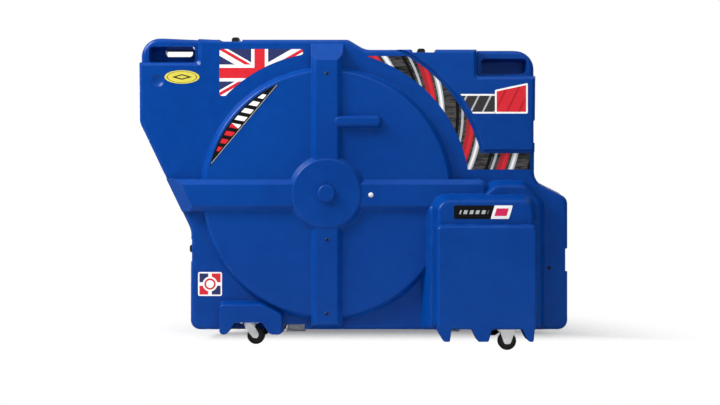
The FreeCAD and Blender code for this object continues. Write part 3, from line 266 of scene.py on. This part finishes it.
def tyre_rubber():
    black = (0.010, 0.010, 0.012, 1)
    dusty = (0.040, 0.038, 0.037, 1)
    material, tree, shader = new_finish("caster_tyre_rubber", Specular_IOR_Level=0.4)
    dust = noise(tree, scale=110, detail=6, roughness=0.65)
    coloured(tree, shader, mixed(tree, ramped(tree, dust, 0.5, 0.8), black, dusty))
    roughened(tree, shader, ramped(tree, dust, 0.3, 0.8, to_low=0.42, to_high=0.72))
    bumped(tree, shader, noise(tree, scale=800, detail=3), distance=0.0002, strength=0.4)
    return material


def brushed_tube():
    shaded = (0.70, 0.71, 0.73, 1)
    bright = (0.84, 0.85, 0.86, 1)
    material, tree, shader = new_finish("brushed_tube", Metallic=1.0)
    drawn = stretched(tree, (30.0, 1.0, 30.0))
    brush = noise(tree, scale=40, detail=6, vector=drawn, roughness=0.6)
    coloured(tree, shader, mixed(tree, brush, shaded, bright))
    roughened(tree, shader, ramped(tree, brush, 0.3, 0.7, to_low=0.25, to_high=0.42))
    bumped(tree, shader, brush, distance=0.00006, strength=0.5)
    return material


def open_cell_foam():
    dark_grey = (0.040, 0.040, 0.043, 1)
    light_grey = (0.062, 0.062, 0.066, 1)
    # The pore colour is painted shade, for the darkness inside the foam's pores.
    pore_shade = (0.012, 0.012, 0.013, 1)
    material, tree, shader = new_finish("charcoal_open_foam", Roughness=0.95, Specular_IOR_Level=0.15,
                                        Sheen_Weight=0.25, Sheen_Roughness=0.6)
    cells = node(tree, "TexVoronoi", Vector=here(tree), Scale=620).outputs["Distance"]
    grey = mixed(tree, ramped(tree, noise(tree, scale=14, detail=4), 0.3, 0.7), dark_grey, light_grey)
    # Dark spots at the cell centres paint the shade inside the pores.
    pore_shade_mask = ramped(tree, cells, 0.0, 0.45, to_low=0.55, to_high=0.0)
    coloured(tree, shader, mixed(tree, pore_shade_mask, grey, pore_shade))
    bumped(tree, shader, cells, distance=0.0006, strength=0.8)
    return material


def woven_webbing():
    # The darker colour is painted shade, for the hollows between the yarns.
    hollow_shade = (0.006, 0.006, 0.007, 1)
    yarn = (0.030, 0.030, 0.034, 1)
    material, tree, shader = new_finish("black_woven_webbing", Roughness=0.75, Specular_IOR_Level=0.3,
                                        Sheen_Weight=0.3, Sheen_Roughness=0.4)
    weave = times(tree, ribs(tree, "X", scale=160), ribs(tree, "Z", scale=160))
    # Where the weave is low, the hollows are painted darker, as shade.
    coloured(tree, shader, mixed(tree, weave, hollow_shade, yarn))
    bumped(tree, shader, weave, distance=0.0005, strength=0.8)
    return material


def polyester_thread():
    shaded = (0.10, 0.10, 0.11, 1)
    grey = (0.20, 0.20, 0.21, 1)
    material, tree, shader = new_finish("grey_polyester_thread", Roughness=0.6, Specular_IOR_Level=0.3,
                                        Sheen_Weight=0.2)
    twist = node(tree, "TexWave", Vector=here(tree), Scale=700, Distortion=1.0).outputs["Fac"]
    coloured(tree, shader, mixed(tree, twist, shaded, grey))
    bumped(tree, shader, twist, distance=0.0002, strength=0.6)
    return material


FINISHES = {
    "shell": shell_plastic(),
    "seal": rim_rubber(),
    "zinc": zinc_plate("bright_zinc_plate", pale=0.96, grey=0.84, smooth=0.28),
    "dull_zinc": zinc_plate("dull_zinc_plate", pale=0.90, grey=0.76, smooth=0.46),
    "black_metal": black_coat(),
    "black_plastic": black_plastic(),
    "tyre": tyre_rubber(),
    "tube": brushed_tube(),
    "foam": open_cell_foam(),
    "webbing": woven_webbing(),
    "thread": polyester_thread(),
}

FINISH_OF = (
    ("shell", ("base_shell", "lid_shell")),
    ("seal", ("rim_seal", "pole_bumper", "hub_pad")),
    ("zinc", ("swivel_", "kingpin", "rigid_", "caster_axle", "caster_screws", "hub_screw")),
    ("dull_zinc", ("base_hinge", "lid_hinge", "hinge_")),
    ("black_metal", ("latch_", "strap_rivets")),
    ("black_plastic", ("caster_hub", "pole_socket", "buckles")),
    ("tyre", ("caster_tyre",)),
    ("tube", ("crush_pole",)),
    ("foam", ("base_foam", "lid_foam")),
    ("webbing", ("wheel_straps", "frame_straps")),
)


def dress_hardware():
    for finish, starts in FINISH_OF:
        for name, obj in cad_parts.items():
            if name.startswith(starts):
                finish_with(obj, FINISHES[finish])


dress_hardware()


# Printed vinyl on the front half

VINYL = 0.0005
VINYL_SEAT = 0.0001
CUTTER_DEPTH = 0.04
WHITE = (0.82, 0.82, 0.82, 1)
RED = (0.60, 0.018, 0.030, 1)
DARK_RED = (0.36, 0.018, 0.026, 1)
LINE_RED = (0.40, 0.01, 0.02, 1)
CRIMSON = (0.62, 0.02, 0.10, 1)
NAVY = (0.025, 0.032, 0.110, 1)
BLACK = (0.006, 0.006, 0.007, 1)
CHARCOAL = (0.035, 0.033, 0.036, 1)
GUNMETAL = (0.085, 0.080, 0.080, 1)
SILVER = (0.42, 0.44, 0.45, 1)
YELLOW = (0.60, 0.53, 0.08, 1)


def printed_vinyl(name):
    material, tree, shader = new_finish(name, IOR=1.5, Specular_IOR_Level=0.3)
    haze = noise(tree, scale=90, detail=4)
    roughened(tree, shader, ramped(tree, haze, 0.3, 0.7, to_low=0.28, to_high=0.36))
    bumped(tree, shader, noise(tree, scale=60, detail=2), distance=0.0001, strength=0.15)
    place = node(tree, "SeparateXYZ", Vector=here(tree)).outputs
    return material, tree, shader, place["X"], place["Z"]


def above(tree, measure, low):
    return calc(tree, "GREATER_THAN", measure, low)


def below(tree, measure, high):
    return calc(tree, "LESS_THAN", measure, high)


def within(tree, measure, low, high):
    return times(tree, above(tree, measure, low), below(tree, measure, high))


def either(tree, first, second):
    return calc(tree, "MAXIMUM", first, second)


def repeats(tree, measure, step):
    """How far a point is along a repeat of the given length, from 0 to 1."""
    return calc(tree, "FRACT", calc(tree, "DIVIDE", measure, step))


def along(tree, x, z, start, angle):
    """How far a point lies from start in the direction of angle, degrees from X towards Z."""
    turn = math.radians(angle)
    across = times(tree, calc(tree, "SUBTRACT", x, start[0]), math.cos(turn))
    return calc(tree, "MULTIPLY_ADD", calc(tree, "SUBTRACT", z, start[1]), math.sin(turn), across)


def distance_to(tree, x, z, centre):
    off_x = calc(tree, "SUBTRACT", x, centre[0])
    off_z = calc(tree, "SUBTRACT", z, centre[1])
    squares = calc(tree, "ADD", times(tree, off_x, off_x), times(tree, off_z, off_z))
    return calc(tree, "SQRT", squares)


def direction(start, end):
    return math.degrees(math.atan2(end[1] - start[1], end[0] - start[0]))


def painted(tree, shader, ground, *layers):
    """Lays colours over a ground, each where its mask is 1."""
    colour = ground
    for mask, paint in layers:
        colour = mixed(tree, mask, colour, paint)
    coloured(tree, shader, colour)


def cross_flag(centre, half_width, half_height, bar):
    """Upright cross over two diagonals, in red and white on navy; the widths are shares of bar."""
    white_diagonal, red_diagonal, white_cross = 0.95, 0.6, 1.62
    material, tree, shader, x, z = printed_vinyl("cross_flag_print")
    slope = math.degrees(math.atan2(half_height, half_width))
    diagonals = (along(tree, x, z, centre, slope + 90), along(tree, x, z, centre, 90 - slope))
    side = along(tree, x, z, centre, 0)
    lift = along(tree, x, z, centre, 90)
    flip = calc(tree, "MULTIPLY_ADD", below(tree, side, 0.0), 2.0, -1.0)
    layers = []
    for diagonal in diagonals:
        layers.append((within(tree, diagonal, -white_diagonal * bar, white_diagonal * bar), WHITE))
    for diagonal in diagonals:
        layers.append((within(tree, times(tree, diagonal, flip), 0.0, red_diagonal * bar), RED))
    for half, paint in ((white_cross * bar, WHITE), (bar, RED)):
        arms = either(tree, within(tree, side, -half, half), within(tree, lift, -half, half))
        layers.append((arms, paint))
    painted(tree, shader, NAVY, *layers)
    return material


def pill_print(centre):
    """An oval line round a lozenge, in black on yellow."""
    oval_inner, oval_outer, oval_squeeze = 0.0405, 0.0425, 2.6
    lozenge_inner, lozenge_outer, lozenge_squeeze = 0.017, 0.029, 3.6
    material, tree, shader, x, z = printed_vinyl("yellow_pill_print")
    off_z = calc(tree, "SUBTRACT", z, centre[1])
    squeezed = calc(tree, "MULTIPLY_ADD", off_z, oval_squeeze, centre[1])
    oval = within(tree, distance_to(tree, x, squeezed, centre), oval_inner, oval_outer)
    side = calc(tree, "ABSOLUTE", along(tree, x, z, centre, 0))
    lift = calc(tree, "ABSOLUTE", along(tree, x, z, centre, 90))
    lozenge = calc(tree, "ADD", side, times(tree, lift, lozenge_squeeze))
    painted(tree, shader, YELLOW, (oval, BLACK), (below(tree, lozenge, lozenge_outer), BLACK),
            (below(tree, lozenge, lozenge_inner), YELLOW))
    return material


def lens_print(start, end, arc):
    """Slanted bars in red and white on black, between the chord and the arc."""
    bars_low, bars_high, bars_start, red_end, bars_end = 0.007, 0.036, 0.045, 0.135, 0.262
    bar_step, bar_share, bar_lean, arc_margin = 0.0275, 0.55, 0.55, 0.005
    line_low, line_high, line_start, line_end = 0.0015, 0.003, 0.01, 0.30
    material, tree, shader, x, z = printed_vinyl("black_lens_print")
    angle = direction(start, end)
    run = along(tree, x, z, start, angle)
    rise = along(tree, x, z, start, angle + 90)
    strip = times(tree, within(tree, rise, bars_low, bars_high), within(tree, run, bars_start, bars_end))
    clear = times(tree, strip, below(tree, distance_to(tree, x, z, HUB), arc - arc_margin))
    beat = repeats(tree, calc(tree, "MULTIPLY_ADD", rise, bar_lean, run), bar_step)
    bars = times(tree, clear, below(tree, beat, bar_share))
    red_bars = times(tree, bars, below(tree, run, red_end))
    line = times(tree, within(tree, rise, line_low, line_high), within(tree, run, line_start, line_end))
    painted(tree, shader, BLACK, (bars, WHITE), (red_bars, RED), (line, SILVER))
    return material


def block_print(name, low, right, lean, top, field, slash):
    """A field in a white border, with slanted lines; top is a point of the upper edge and its facing."""
    border, slash_step, slash_share, slash_lean = 0.005, 0.034, 0.16, -0.5
    material, tree, shader, x, z = printed_vinyl(name)
    side = calc(tree, "MULTIPLY_ADD", calc(tree, "SUBTRACT", z, low[1]), -lean, x)
    under_top = below(tree, along(tree, x, z, *top), -border)
    inside = times(tree, under_top, above(tree, z, low[1] + border))
    framed = times(tree, within(tree, side, low[0] + border, right - border), inside)
    beat = repeats(tree, calc(tree, "MULTIPLY_ADD", z, slash_lean, x), slash_step)
    lines = times(tree, framed, below(tree, beat, slash_share))
    painted(tree, shader, WHITE, (framed, field), (lines, slash))
    return material


def band_print():
    """Slanted metallic stripes that run round the drum; each has its start and end in the repeat."""
    stripe_step, stripe_slant, arc_radius = 0.205, -1.6, 0.43
    stripes = ((0.10, 0.24, SILVER), (0.14, 0.20, WHITE), (0.30, 0.52, DARK_RED), (0.33, 0.42, RED),
               (0.60, 0.66, SILVER), (0.72, 0.80, BLACK))
    material, tree, shader, x, z = printed_vinyl("striped_band_print")
    off_x = calc(tree, "SUBTRACT", x, HUB[0])
    off_z = calc(tree, "SUBTRACT", z, HUB[1])
    arc = times(tree, calc(tree, "ARCTAN2", off_z, off_x), arc_radius)
    slant = calc(tree, "MULTIPLY_ADD", distance_to(tree, x, z, HUB), stripe_slant, arc)
    beat = repeats(tree, slant, stripe_step)
    streaked = stretched(tree, (1, 1, 7), (0, 0.7, 0))
    streak = noise(tree, scale=26, detail=5, vector=streaked, roughness=0.6)
    metal = mixed(tree, ramped(tree, streak, 0.3, 0.7), BLACK, GUNMETAL)
    layers = [(within(tree, beat, low, high), paint) for low, high, paint in stripes]
    painted(tree, shader, metal, *layers)
    return material


def pod_label_print(left, right, low, high):
    """A row of dashes on black beside a red block on white; heights are shares of the label's."""
    lean, dark_share = -0.30, 0.62
    row_low, row_high, row_inset, row_gap = 0.36, 0.64, 0.010, 0.012
    block_low, block_high, block_gap, block_inset = 0.22, 0.78, 0.008, 0.020
    dash_step, dash_share = 0.0165, 0.6
    material, tree, shader, x, z = printed_vinyl("pod_label_print")
    side = calc(tree, "MULTIPLY_ADD", calc(tree, "SUBTRACT", z, low), lean, x)
    split = left + dark_share * (right - left)
    height = high - low
    row = times(tree, within(tree, z, low + row_low * height, low + row_high * height),
                within(tree, side, left + row_inset, split - row_gap))
    dashes = times(tree, row, below(tree, repeats(tree, side, dash_step), dash_share))
    block = times(tree, within(tree, z, low + block_low * height, low + block_high * height),
                  within(tree, side, split + block_gap, right - block_inset))
    pale = above(tree, side, split)
    painted(tree, shader, BLACK, (pale, WHITE), (dashes, SILVER), (block, CRIMSON))
    return material


def badge_print(centre, half):
    """A quartered square with a ring, inside a white border."""
    border, half_arm = 0.004, 0.005
    disc, ring_inner, ring_outer = 0.021, 0.011, 0.016
    material, tree, shader, x, z = printed_vinyl("square_badge_print")
    side = along(tree, x, z, centre, 0)
    lift = along(tree, x, z, centre, 90)
    inner = half - border
    field = times(tree, within(tree, side, -inner, inner), within(tree, lift, -inner, inner))
    quarters = times(tree, field, above(tree, times(tree, side, lift), 0.0))
    arms = either(tree, within(tree, side, -half_arm, half_arm), within(tree, lift, -half_arm, half_arm))
    reach = distance_to(tree, x, z, centre)
    painted(tree, shader, WHITE, (field, NAVY), (quarters, RED), (times(tree, field, arms), WHITE),
            (below(tree, reach, disc), WHITE), (within(tree, reach, ring_inner, ring_outer), RED))
    return material


def flat_blank(name, left, right, low, high, y):
    bpy.ops.object.select_all(action="DESELECT")
    middle = ((left + right) / 2, y, (low + high) / 2)
    bpy.ops.mesh.primitive_plane_add(size=1, location=middle, rotation=(math.pi / 2, 0, 0))
    blank = named(name)
    blank.scale = (right - left, high - low, 1)
    bpy.ops.object.transform_apply()
    return blank


def vinyl_blank(name, left, right, low, high, face):
    return flat_blank(name, left, right, low, high, face + VINYL_SEAT)


def round_blank(name, centre, radius, face, squeeze=1.0):
    bpy.ops.object.select_all(action="DESELECT")
    bpy.ops.mesh.primitive_circle_add(vertices=192, radius=radius, fill_type="NGON",
                                      location=(centre[0], face + VINYL_SEAT, centre[1]),
                                      rotation=(math.pi / 2, 0, 0))
    blank = named(name)
    blank.scale = (1, squeeze, 1)
    bpy.ops.object.transform_apply()
    return blank


def trim(blank, point, facing):
    """Cuts away what lies beyond a line; facing is its outward direction, degrees from X towards Z."""
    take(blank)
    bpy.ops.object.mode_set(mode="EDIT")
    bpy.ops.mesh.select_all(action="SELECT")
    outward = (math.cos(math.radians(facing)), 0, math.sin(math.radians(facing)))
    bpy.ops.mesh.bisect(plane_co=(point[0], 0, point[1]), plane_no=outward, clear_outer=True)
    bpy.ops.object.mode_set(mode="OBJECT")


def round_corners(blank, radius):
    take(blank)
    bpy.ops.object.mode_set(mode="EDIT")
    bpy.ops.mesh.select_all(action="SELECT")
    bpy.ops.mesh.bevel(offset=radius, segments=6, affect="VERTICES")
    bpy.ops.object.mode_set(mode="OBJECT")


def drum_cutter(radius, face, depth=CUTTER_DEPTH):
    bpy.ops.object.select_all(action="DESELECT")
    bpy.ops.mesh.primitive_cylinder_add(vertices=360, radius=radius, depth=depth,
                                        location=(HUB[0], face, HUB[1]), rotation=(math.pi / 2, 0, 0))
    return named("cutter")


def carve(blank, cutter):
    apply_modifier(blank, "BOOLEAN", object=cutter, operation="DIFFERENCE", solver="EXACT")
    bpy.data.objects.remove(cutter)


def thicken(blank):
    apply_modifier(blank, "SOLIDIFY", thickness=VINYL + VINYL_SEAT, offset=1.0)


def stick(blank, material):
    """Softens the cut edge, prints the sheet and fixes it to the lid."""
    apply_modifier(blank, "BEVEL", width=0.00015, segments=1, limit_method="ANGLE")
    finish_with(blank, material)
    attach(blank, "lid")


def flag_vinyl():
    left, right, low, high = -0.380, -0.143, 0.706, 0.839
    centre, half_width, half_height, bar = (-0.266, 0.771), 0.1186, 0.068, 0.0148
    drum_edge = 0.401
    blank = vinyl_blank("flag_vinyl", left, right, low, high, PANEL_FACE)
    round_corners(blank, radius=0.006)
    thicken(blank)
    carve(blank, drum_cutter(drum_edge, PANEL_FACE))
    stick(blank, cross_flag(centre, half_width, half_height, bar))


def pill_vinyl():
    centre = (-0.4867, 0.7597)
    blank = round_blank("pill_vinyl", centre, radius=0.0495, face=PANEL_FACE, squeeze=0.385)
    thicken(blank)
    stick(blank, pill_print(centre))


def lens_vinyl():
    start, end, arc = (-0.4045, 0.5030), (-0.2030, 0.7440), 0.338
    blank = round_blank("lens_vinyl", HUB, arc, DRUM_FACE)
    trim(blank, start, direction(start, end) - 90)
    thicken(blank)
    stick(blank, lens_print(start, end, arc))


def dark_block_vinyl():
    """Slanted on the left and cut round the drum; its print runs on under the red block."""
    left, right, low, high, print_right = 0.290, 0.4005, 0.6545, 0.710, 0.410
    lean, left_facing, drum_edge = 0.19, 169, 0.471
    blank = vinyl_blank("dark_block_vinyl", left, right, low, high, HIGH_PANEL_FACE)
    trim(blank, (left, low), left_facing)
    thicken(blank)
    carve(blank, drum_cutter(drum_edge, HIGH_PANEL_FACE))
    top = ((left, high), 90)
    stick(blank, block_print("dark_block_print", (left, low), print_right, lean, top, CHARCOAL, SILVER))


def red_block_vinyl():
    left, right, low, high = 0.401, 0.494, 0.6545, 0.742
    top = ((left, 0.7215), 102)
    blank = vinyl_blank("red_block_vinyl", left, right, low, high, HIGH_PANEL_FACE)
    trim(blank, *top)
    round_corners(blank, radius=0.004)
    thicken(blank)
    stick(blank, block_print("red_block_print", (left, low), right, 0.0, top, RED, LINE_RED))


def band_vinyl():
    """Follows the edge of the drum, and below the split runs straight to the right."""
    left, right, low, high = 0.040, 0.503, 0.497, 0.819
    inner, outer, split = 0.406, 0.452, 0.543
    reach = 1.0
    blank = vinyl_blank("band_vinyl", left, right, low, high, PANEL_FACE)
    thicken(blank)
    carve(blank, drum_cutter(inner, PANEL_FACE))
    bpy.ops.object.select_all(action="DESELECT")
    bpy.ops.mesh.primitive_cube_add(size=1, location=(reach / 2, PANEL_FACE, split + reach / 2))
    beyond = named("beyond_band")
    beyond.scale = (reach, CUTTER_DEPTH, reach)
    bpy.ops.object.transform_apply()
    carve(beyond, drum_cutter(outer, PANEL_FACE, 2 * CUTTER_DEPTH))
    carve(blank, beyond)
    stick(blank, band_print())


def label_vinyl():
    left, right, low, high = 0.276, 0.437, 0.358, 0.395
    right_inset, right_facing = 0.011, -16.7
    blank = vinyl_blank("pod_label_vinyl", left, right, low, high, POD_FACE)
    trim(blank, (right - right_inset, low), right_facing)
    round_corners(blank, radius=0.004)
    thicken(blank)
    stick(blank, pod_label_print(left, right, low, high))


def badge_vinyl():
    (x, z), half = (-0.407, 0.1714), 0.034
    blank = vinyl_blank("square_badge_vinyl", x - half, x + half, z - half, z + half, PANEL_FACE)
    round_corners(blank, radius=0.005)
    thicken(blank)
    stick(blank, badge_print((x, z), half))


flag_vinyl()
pill_vinyl()
lens_vinyl()
dark_block_vinyl()
red_block_vinyl()
band_vinyl()
label_vinyl()
badge_vinyl()


# Foam linings and webbing inside

BASE_FOAM_FACE = 0.118
LID_FOAM_FACE = -0.042
EGG_PITCH = 0.042
EGG_DEPTH = 0.009
FOAM_GRID = 0.006
SAME_PLACE = 0.0001
STRAP_WIDTH = 0.025
STRAP_SHEET = 0.002
STRAP_CORNER = 0.004
STRAP_FOLD = 0.003
STRAP_EDGE = 0.0006
STITCH_STEP = 0.0032
STITCH_SHARE = 0.32
STITCH_INSET = 0.004
THREAD_RADIUS = 0.0004

# X, Y, lower end, upper end and rivet height of each upright strap in the lid
WHEEL_STRAPS = (
    (-0.074, -0.099, 0.690, 0.788, 0.764),
    (-0.074, -0.099, 0.205, 0.378, 0.299),
    (-0.074, -0.099, 0.078, 0.176, 0.092),
    (0.557, -0.057, 0.160, 0.300, 0.218),
)


def egg_crate(name, node_name, body, face, into):
    """Foam sheet with soft peaks on the side that faces the bicycle; into is the way into the foam."""
    sheet = bpy.data.objects.new(name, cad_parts[node_name].data.copy())
    bpy.context.scene.collection.objects.link(sheet)
    take(sheet)
    bpy.ops.object.mode_set(mode="EDIT")
    bpy.ops.mesh.select_all(action="SELECT")
    bpy.ops.mesh.remove_doubles(threshold=0.00001)
    bpy.ops.object.mode_set(mode="OBJECT")
    apply_modifier(sheet, "REMESH", mode="VOXEL", voxel_size=FOAM_GRID)
    turn = 2 * math.pi / EGG_PITCH
    for vertex in sheet.data.vertices:
        nearness = max(0.0, 1 - abs(vertex.co.y - face) / FOAM_GRID)
        wave = math.sin(vertex.co.x * turn) * math.sin(vertex.co.z * turn)
        vertex.co.y += into * nearness * EGG_DEPTH * (1 - wave) / 2
    take(sheet)
    bpy.ops.object.shade_smooth()
    finish_with(sheet, FINISHES["foam"])
    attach(sheet, body)
    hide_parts(node_name)


def stitch_row(start, step, count):
    """A row of short threads that lie along the step."""
    bpy.ops.object.select_all(action="DESELECT")
    bpy.ops.mesh.primitive_ico_sphere_add(subdivisions=1, radius=1, location=start)
    row = named("stitch_row")
    row.scale = [THREAD_RADIUS + STITCH_SHARE * abs(move) for move in step]
    bpy.ops.object.transform_apply()
    apply_modifier(row, "ARRAY", use_relative_offset=False, use_constant_offset=True,
                   constant_offset_displace=step, count=count)
    return row


def stitched_box(low_x, high_x, low_z, high_z, y):
    across = round((high_x - low_x) / STITCH_STEP)
    upwards = round((high_z - low_z) / STITCH_STEP)
    rows = [stitch_row((low_x, y, z), (STITCH_STEP, 0, 0), across) for z in (low_z, high_z)]
    return rows + [stitch_row((x, y, low_z), (0, 0, STITCH_STEP), upwards) for x in (low_x, high_x)]


def thicken_webbing(band):
    apply_modifier(band, "SOLIDIFY", thickness=STRAP_SHEET, offset=0.0)
    apply_modifier(band, "BEVEL", width=STRAP_EDGE, segments=2, limit_method="ANGLE")


def strip_along(name, route, low_z):
    """A band of webbing on edge, drawn out through the points of its route in X and Y."""
    start_x, start_y = route[0]
    next_x = route[1][0]
    left, right = sorted((start_x, next_x))
    band = flat_blank(name, left, right, low_z, low_z + STRAP_WIDTH, start_y)
    at_end = [abs(vertex.co.x - next_x) < SAME_PLACE for vertex in band.data.vertices]
    for vertex, chosen in zip(band.data.vertices, at_end):
        vertex.select = chosen
    for edge in band.data.edges:
        edge.select = all(at_end[index] for index in edge.vertices)
    for face in band.data.polygons:
        face.select = False
    bpy.ops.object.mode_set(mode="EDIT")
    bpy.ops.mesh.select_mode(type="EDGE")
    for (from_x, from_y), (to_x, to_y) in zip(route[1:], route[2:]):
        move = (to_x - from_x, to_y - from_y, 0)
        bpy.ops.mesh.extrude_region_move(TRANSFORM_OT_translate={"value": move})
    bpy.ops.mesh.select_all(action="SELECT")
    bpy.ops.mesh.normals_make_consistent(inside=False)
    bpy.ops.object.mode_set(mode="OBJECT")
    apply_modifier(band, "BEVEL", width=STRAP_FOLD, segments=4, limit_method="ANGLE")
    thicken_webbing(band)
    return band


def join(pieces, name):
    take(pieces[0])
    for piece in pieces:
        piece.select_set(True)
    bpy.ops.object.join()
    return named(name)


def finish_straps(pieces, threads, name, body, node_name):
    straps = join(pieces, name)
    finish_with(straps, FINISHES["webbing"])
    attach(straps, body)
    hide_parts(node_name)
    seams = join(threads, name + "_stitches")
    finish_with(seams, FINISHES["thread"])
    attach(seams, body)


def frame_straps():
    """Two bands across the base, folded under at both ends."""
    left, right, foot = -0.439, 0.289, 0.029
    band_y, panel_y = 0.117, 0.133
    seam_inset, seam_length = 0.012, 0.030
    heights = (0.250, 0.600)
    route = [(left + foot, panel_y), (left, panel_y), (left, band_y), (right, band_y), (right, panel_y),
             (right - foot, panel_y)]
    bands = []
    threads = []
    for height in heights:
        low = height - STRAP_WIDTH / 2
        high = low + STRAP_WIDTH
        bands.append(strip_along("frame_band", route, low))
        for start in (left + seam_inset, right - seam_inset - seam_length):
            threads += stitched_box(start, start + seam_length, low + STITCH_INSET, high - STITCH_INSET,
                                    band_y - STRAP_SHEET / 2)
    finish_straps(bands, threads, "frame_webbing", "base", "frame_straps_base")


def wheel_straps():
    """Short upright straps in the lid, each sewn at the end away from its rivet."""
    seam_height = 0.014
    half = STRAP_WIDTH / 2
    straps = []
    threads = []
    for x, y, low, high, rivet in WHEEL_STRAPS:
        strap = flat_blank("wheel_strap", x - half, x + half, low, high, y)
        round_corners(strap, STRAP_CORNER)
        thicken_webbing(strap)
        straps.append(strap)
        rivet_is_high = rivet - low > high - rivet
        seam_low = low + STITCH_INSET if rivet_is_high else high - STITCH_INSET - seam_height
        threads += stitched_box(x - half + STITCH_INSET, x + half - STITCH_INSET, seam_low,
                                seam_low + seam_height, y + STRAP_SHEET / 2)
    finish_straps(straps, threads, "wheel_webbing", "lid", "wheel_straps_lid")


egg_crate("base_egg_crate", "base_foam", "base", BASE_FOAM_FACE, 1)
egg_crate("lid_egg_crate", "lid_foam", "lid", LID_FOAM_FACE, -1)
frame_straps()
wheel_straps()


# Camera, lamps, surroundings and floor

def set_camera():
    camera = bpy.data.cameras.new("photo_camera")
    camera.sensor_width = 36
    camera.lens = 47.5
    holder = bpy.data.objects.new("photo_camera", camera)
    bpy.context.scene.collection.objects.link(holder)
    holder.location = (0.0192, -2.762, 0.403)
    holder.rotation_euler = (math.pi / 2, 0, 0)
    bpy.context.scene.camera = holder


def lamp(name, place, aim, width, height, watts):
    light = bpy.data.lights.new(name, "AREA")
    light.shape = "RECTANGLE"
    light.size = width
    light.size_y = height
    light.energy = watts
    holder = bpy.data.objects.new(name, light)
    bpy.context.scene.collection.objects.link(holder)
    holder.location = place
    holder.rotation_euler = (Vector(aim) - Vector(place)).to_track_quat("-Z", "Y").to_euler()
    return holder


def light_studio():
    """A key from the upper left; fill and top stay out of reflections, the rim is only reflected."""
    lamp("key_softbox", place=(-2.5, -1.2, 2.7), aim=(-0.1, 0, 0.5), width=1.4, height=1.4, watts=152)
    fill = lamp("fill_softbox", place=(1.2, -3.4, 2.2), aim=(0, 0, 0.45), width=3.0, height=3.0, watts=42)
    fill.visible_glossy = False
    top = lamp("top_softbox", place=(0.2, -0.9, 3.2), aim=(0, 0, 0.3), width=2.4, height=1.4, watts=44)
    top.visible_glossy = False
    rim = lamp("rim_softbox", place=(-2.3, 1.9, 0.55), aim=(0, 0, 0.5), width=2.4, height=1.0, watts=60)
    rim.visible_diffuse = False
    lamp("rear_softbox", place=(1.3, 3.4, 1.1), aim=(0, 0, 0.45), width=2.0, height=1.6, watts=45)


def blended(tree, factor, first, second):
    return node(tree, "Mix", {"data_type": "FLOAT"}, Factor=factor, A=first, B=second).outputs["Result"]


def pale_surroundings():
    """White to the eye; dimmer as light, and for gloss pale overhead and darker round the horizon."""
    light_level, overhead_level = 0.08, 0.6
    horizon, overhead = 0.30, 0.90
    world = bpy.data.worlds.new("pale_surroundings")
    bpy.context.scene.world = world
    world.use_nodes = True
    tree = world.node_tree
    path = tree.nodes.new("ShaderNodeLightPath").outputs
    ray = tree.nodes.new("ShaderNodeTexCoord").outputs["Generated"]
    up = node(tree, "SeparateXYZ", Vector=ray).outputs["Z"]
    shown = calc(tree, "MAXIMUM", path["Is Camera Ray"], path["Is Transmission Ray"])
    gloss_level = ramped(tree, up, horizon, overhead, 0.0, overhead_level)
    level = blended(tree, path["Is Glossy Ray"], light_level, gloss_level)
    back = tree.nodes["Background"]
    back.inputs["Color"].default_value = (1, 1, 1, 1)
    tree.links.new(blended(tree, shown, level, 1.0), back.inputs["Strength"])


def pale_floor():
    """A sheer sheet, clear to shadow rays and from below.

    Seen from the front, it shows the shadow behind the case and is clear further forward; seen from
    behind, that fade lies in front of the case.
    """
    pale, dim = (0.90, 0.90, 0.90, 1), (0.14, 0.14, 0.14, 1)
    front, back, back_clearness = -0.02, 0.24, 0.15
    near, far = 0.35, 1.1
    side_on, shift_from_behind = 0.3, 0.38
    bpy.ops.object.select_all(action="DESELECT")
    bpy.ops.mesh.primitive_plane_add(size=60, location=(0, 0, 0))
    floor = named("pale_floor")
    material = bpy.data.materials.new("pale_floor")
    material.use_nodes = True
    tree = material.node_tree
    tree.nodes.clear()
    path = tree.nodes.new("ShaderNodeLightPath").outputs
    lit = node(tree, "BsdfDiffuse", Color=mixed(tree, path["Is Glossy Ray"], pale, dim))
    clear = tree.nodes.new("ShaderNodeBsdfTransparent")
    reach = node(tree, "VectorMath", {"operation": "LENGTH"}, Vector=here(tree)).outputs["Value"]
    geometry = tree.nodes.new("ShaderNodeNewGeometry").outputs
    toward_viewer = node(tree, "SeparateXYZ", Vector=geometry["Incoming"]).outputs["Y"]
    shift = ramped(tree, toward_viewer, -side_on, side_on, 0.0, shift_from_behind)
    rearward = calc(tree, "ADD", node(tree, "SeparateXYZ", Vector=here(tree)).outputs["Y"], shift)
    clearness = either(tree, ramped(tree, rearward, front, back, 1.0, back_clearness),
                       ramped(tree, reach, near, far))
    to_camera = times(tree, path["Is Camera Ray"], clearness)
    through = either(tree, either(tree, to_camera, geometry["Backfacing"]), path["Is Shadow Ray"])
    surface = node(tree, "MixShader", Fac=through)
    tree.links.new(lit.outputs["BSDF"], surface.inputs[1])
    tree.links.new(clear.outputs["BSDF"], surface.inputs[2])
    output = tree.nodes.new("ShaderNodeOutputMaterial")
    tree.links.new(surface.outputs["Shader"], output.inputs["Surface"])
    floor.data.materials.append(material)


set_camera()
light_studio()
pale_surroundings()
pale_floor()
bpy.context.scene.view_settings.view_transform = "Standard"
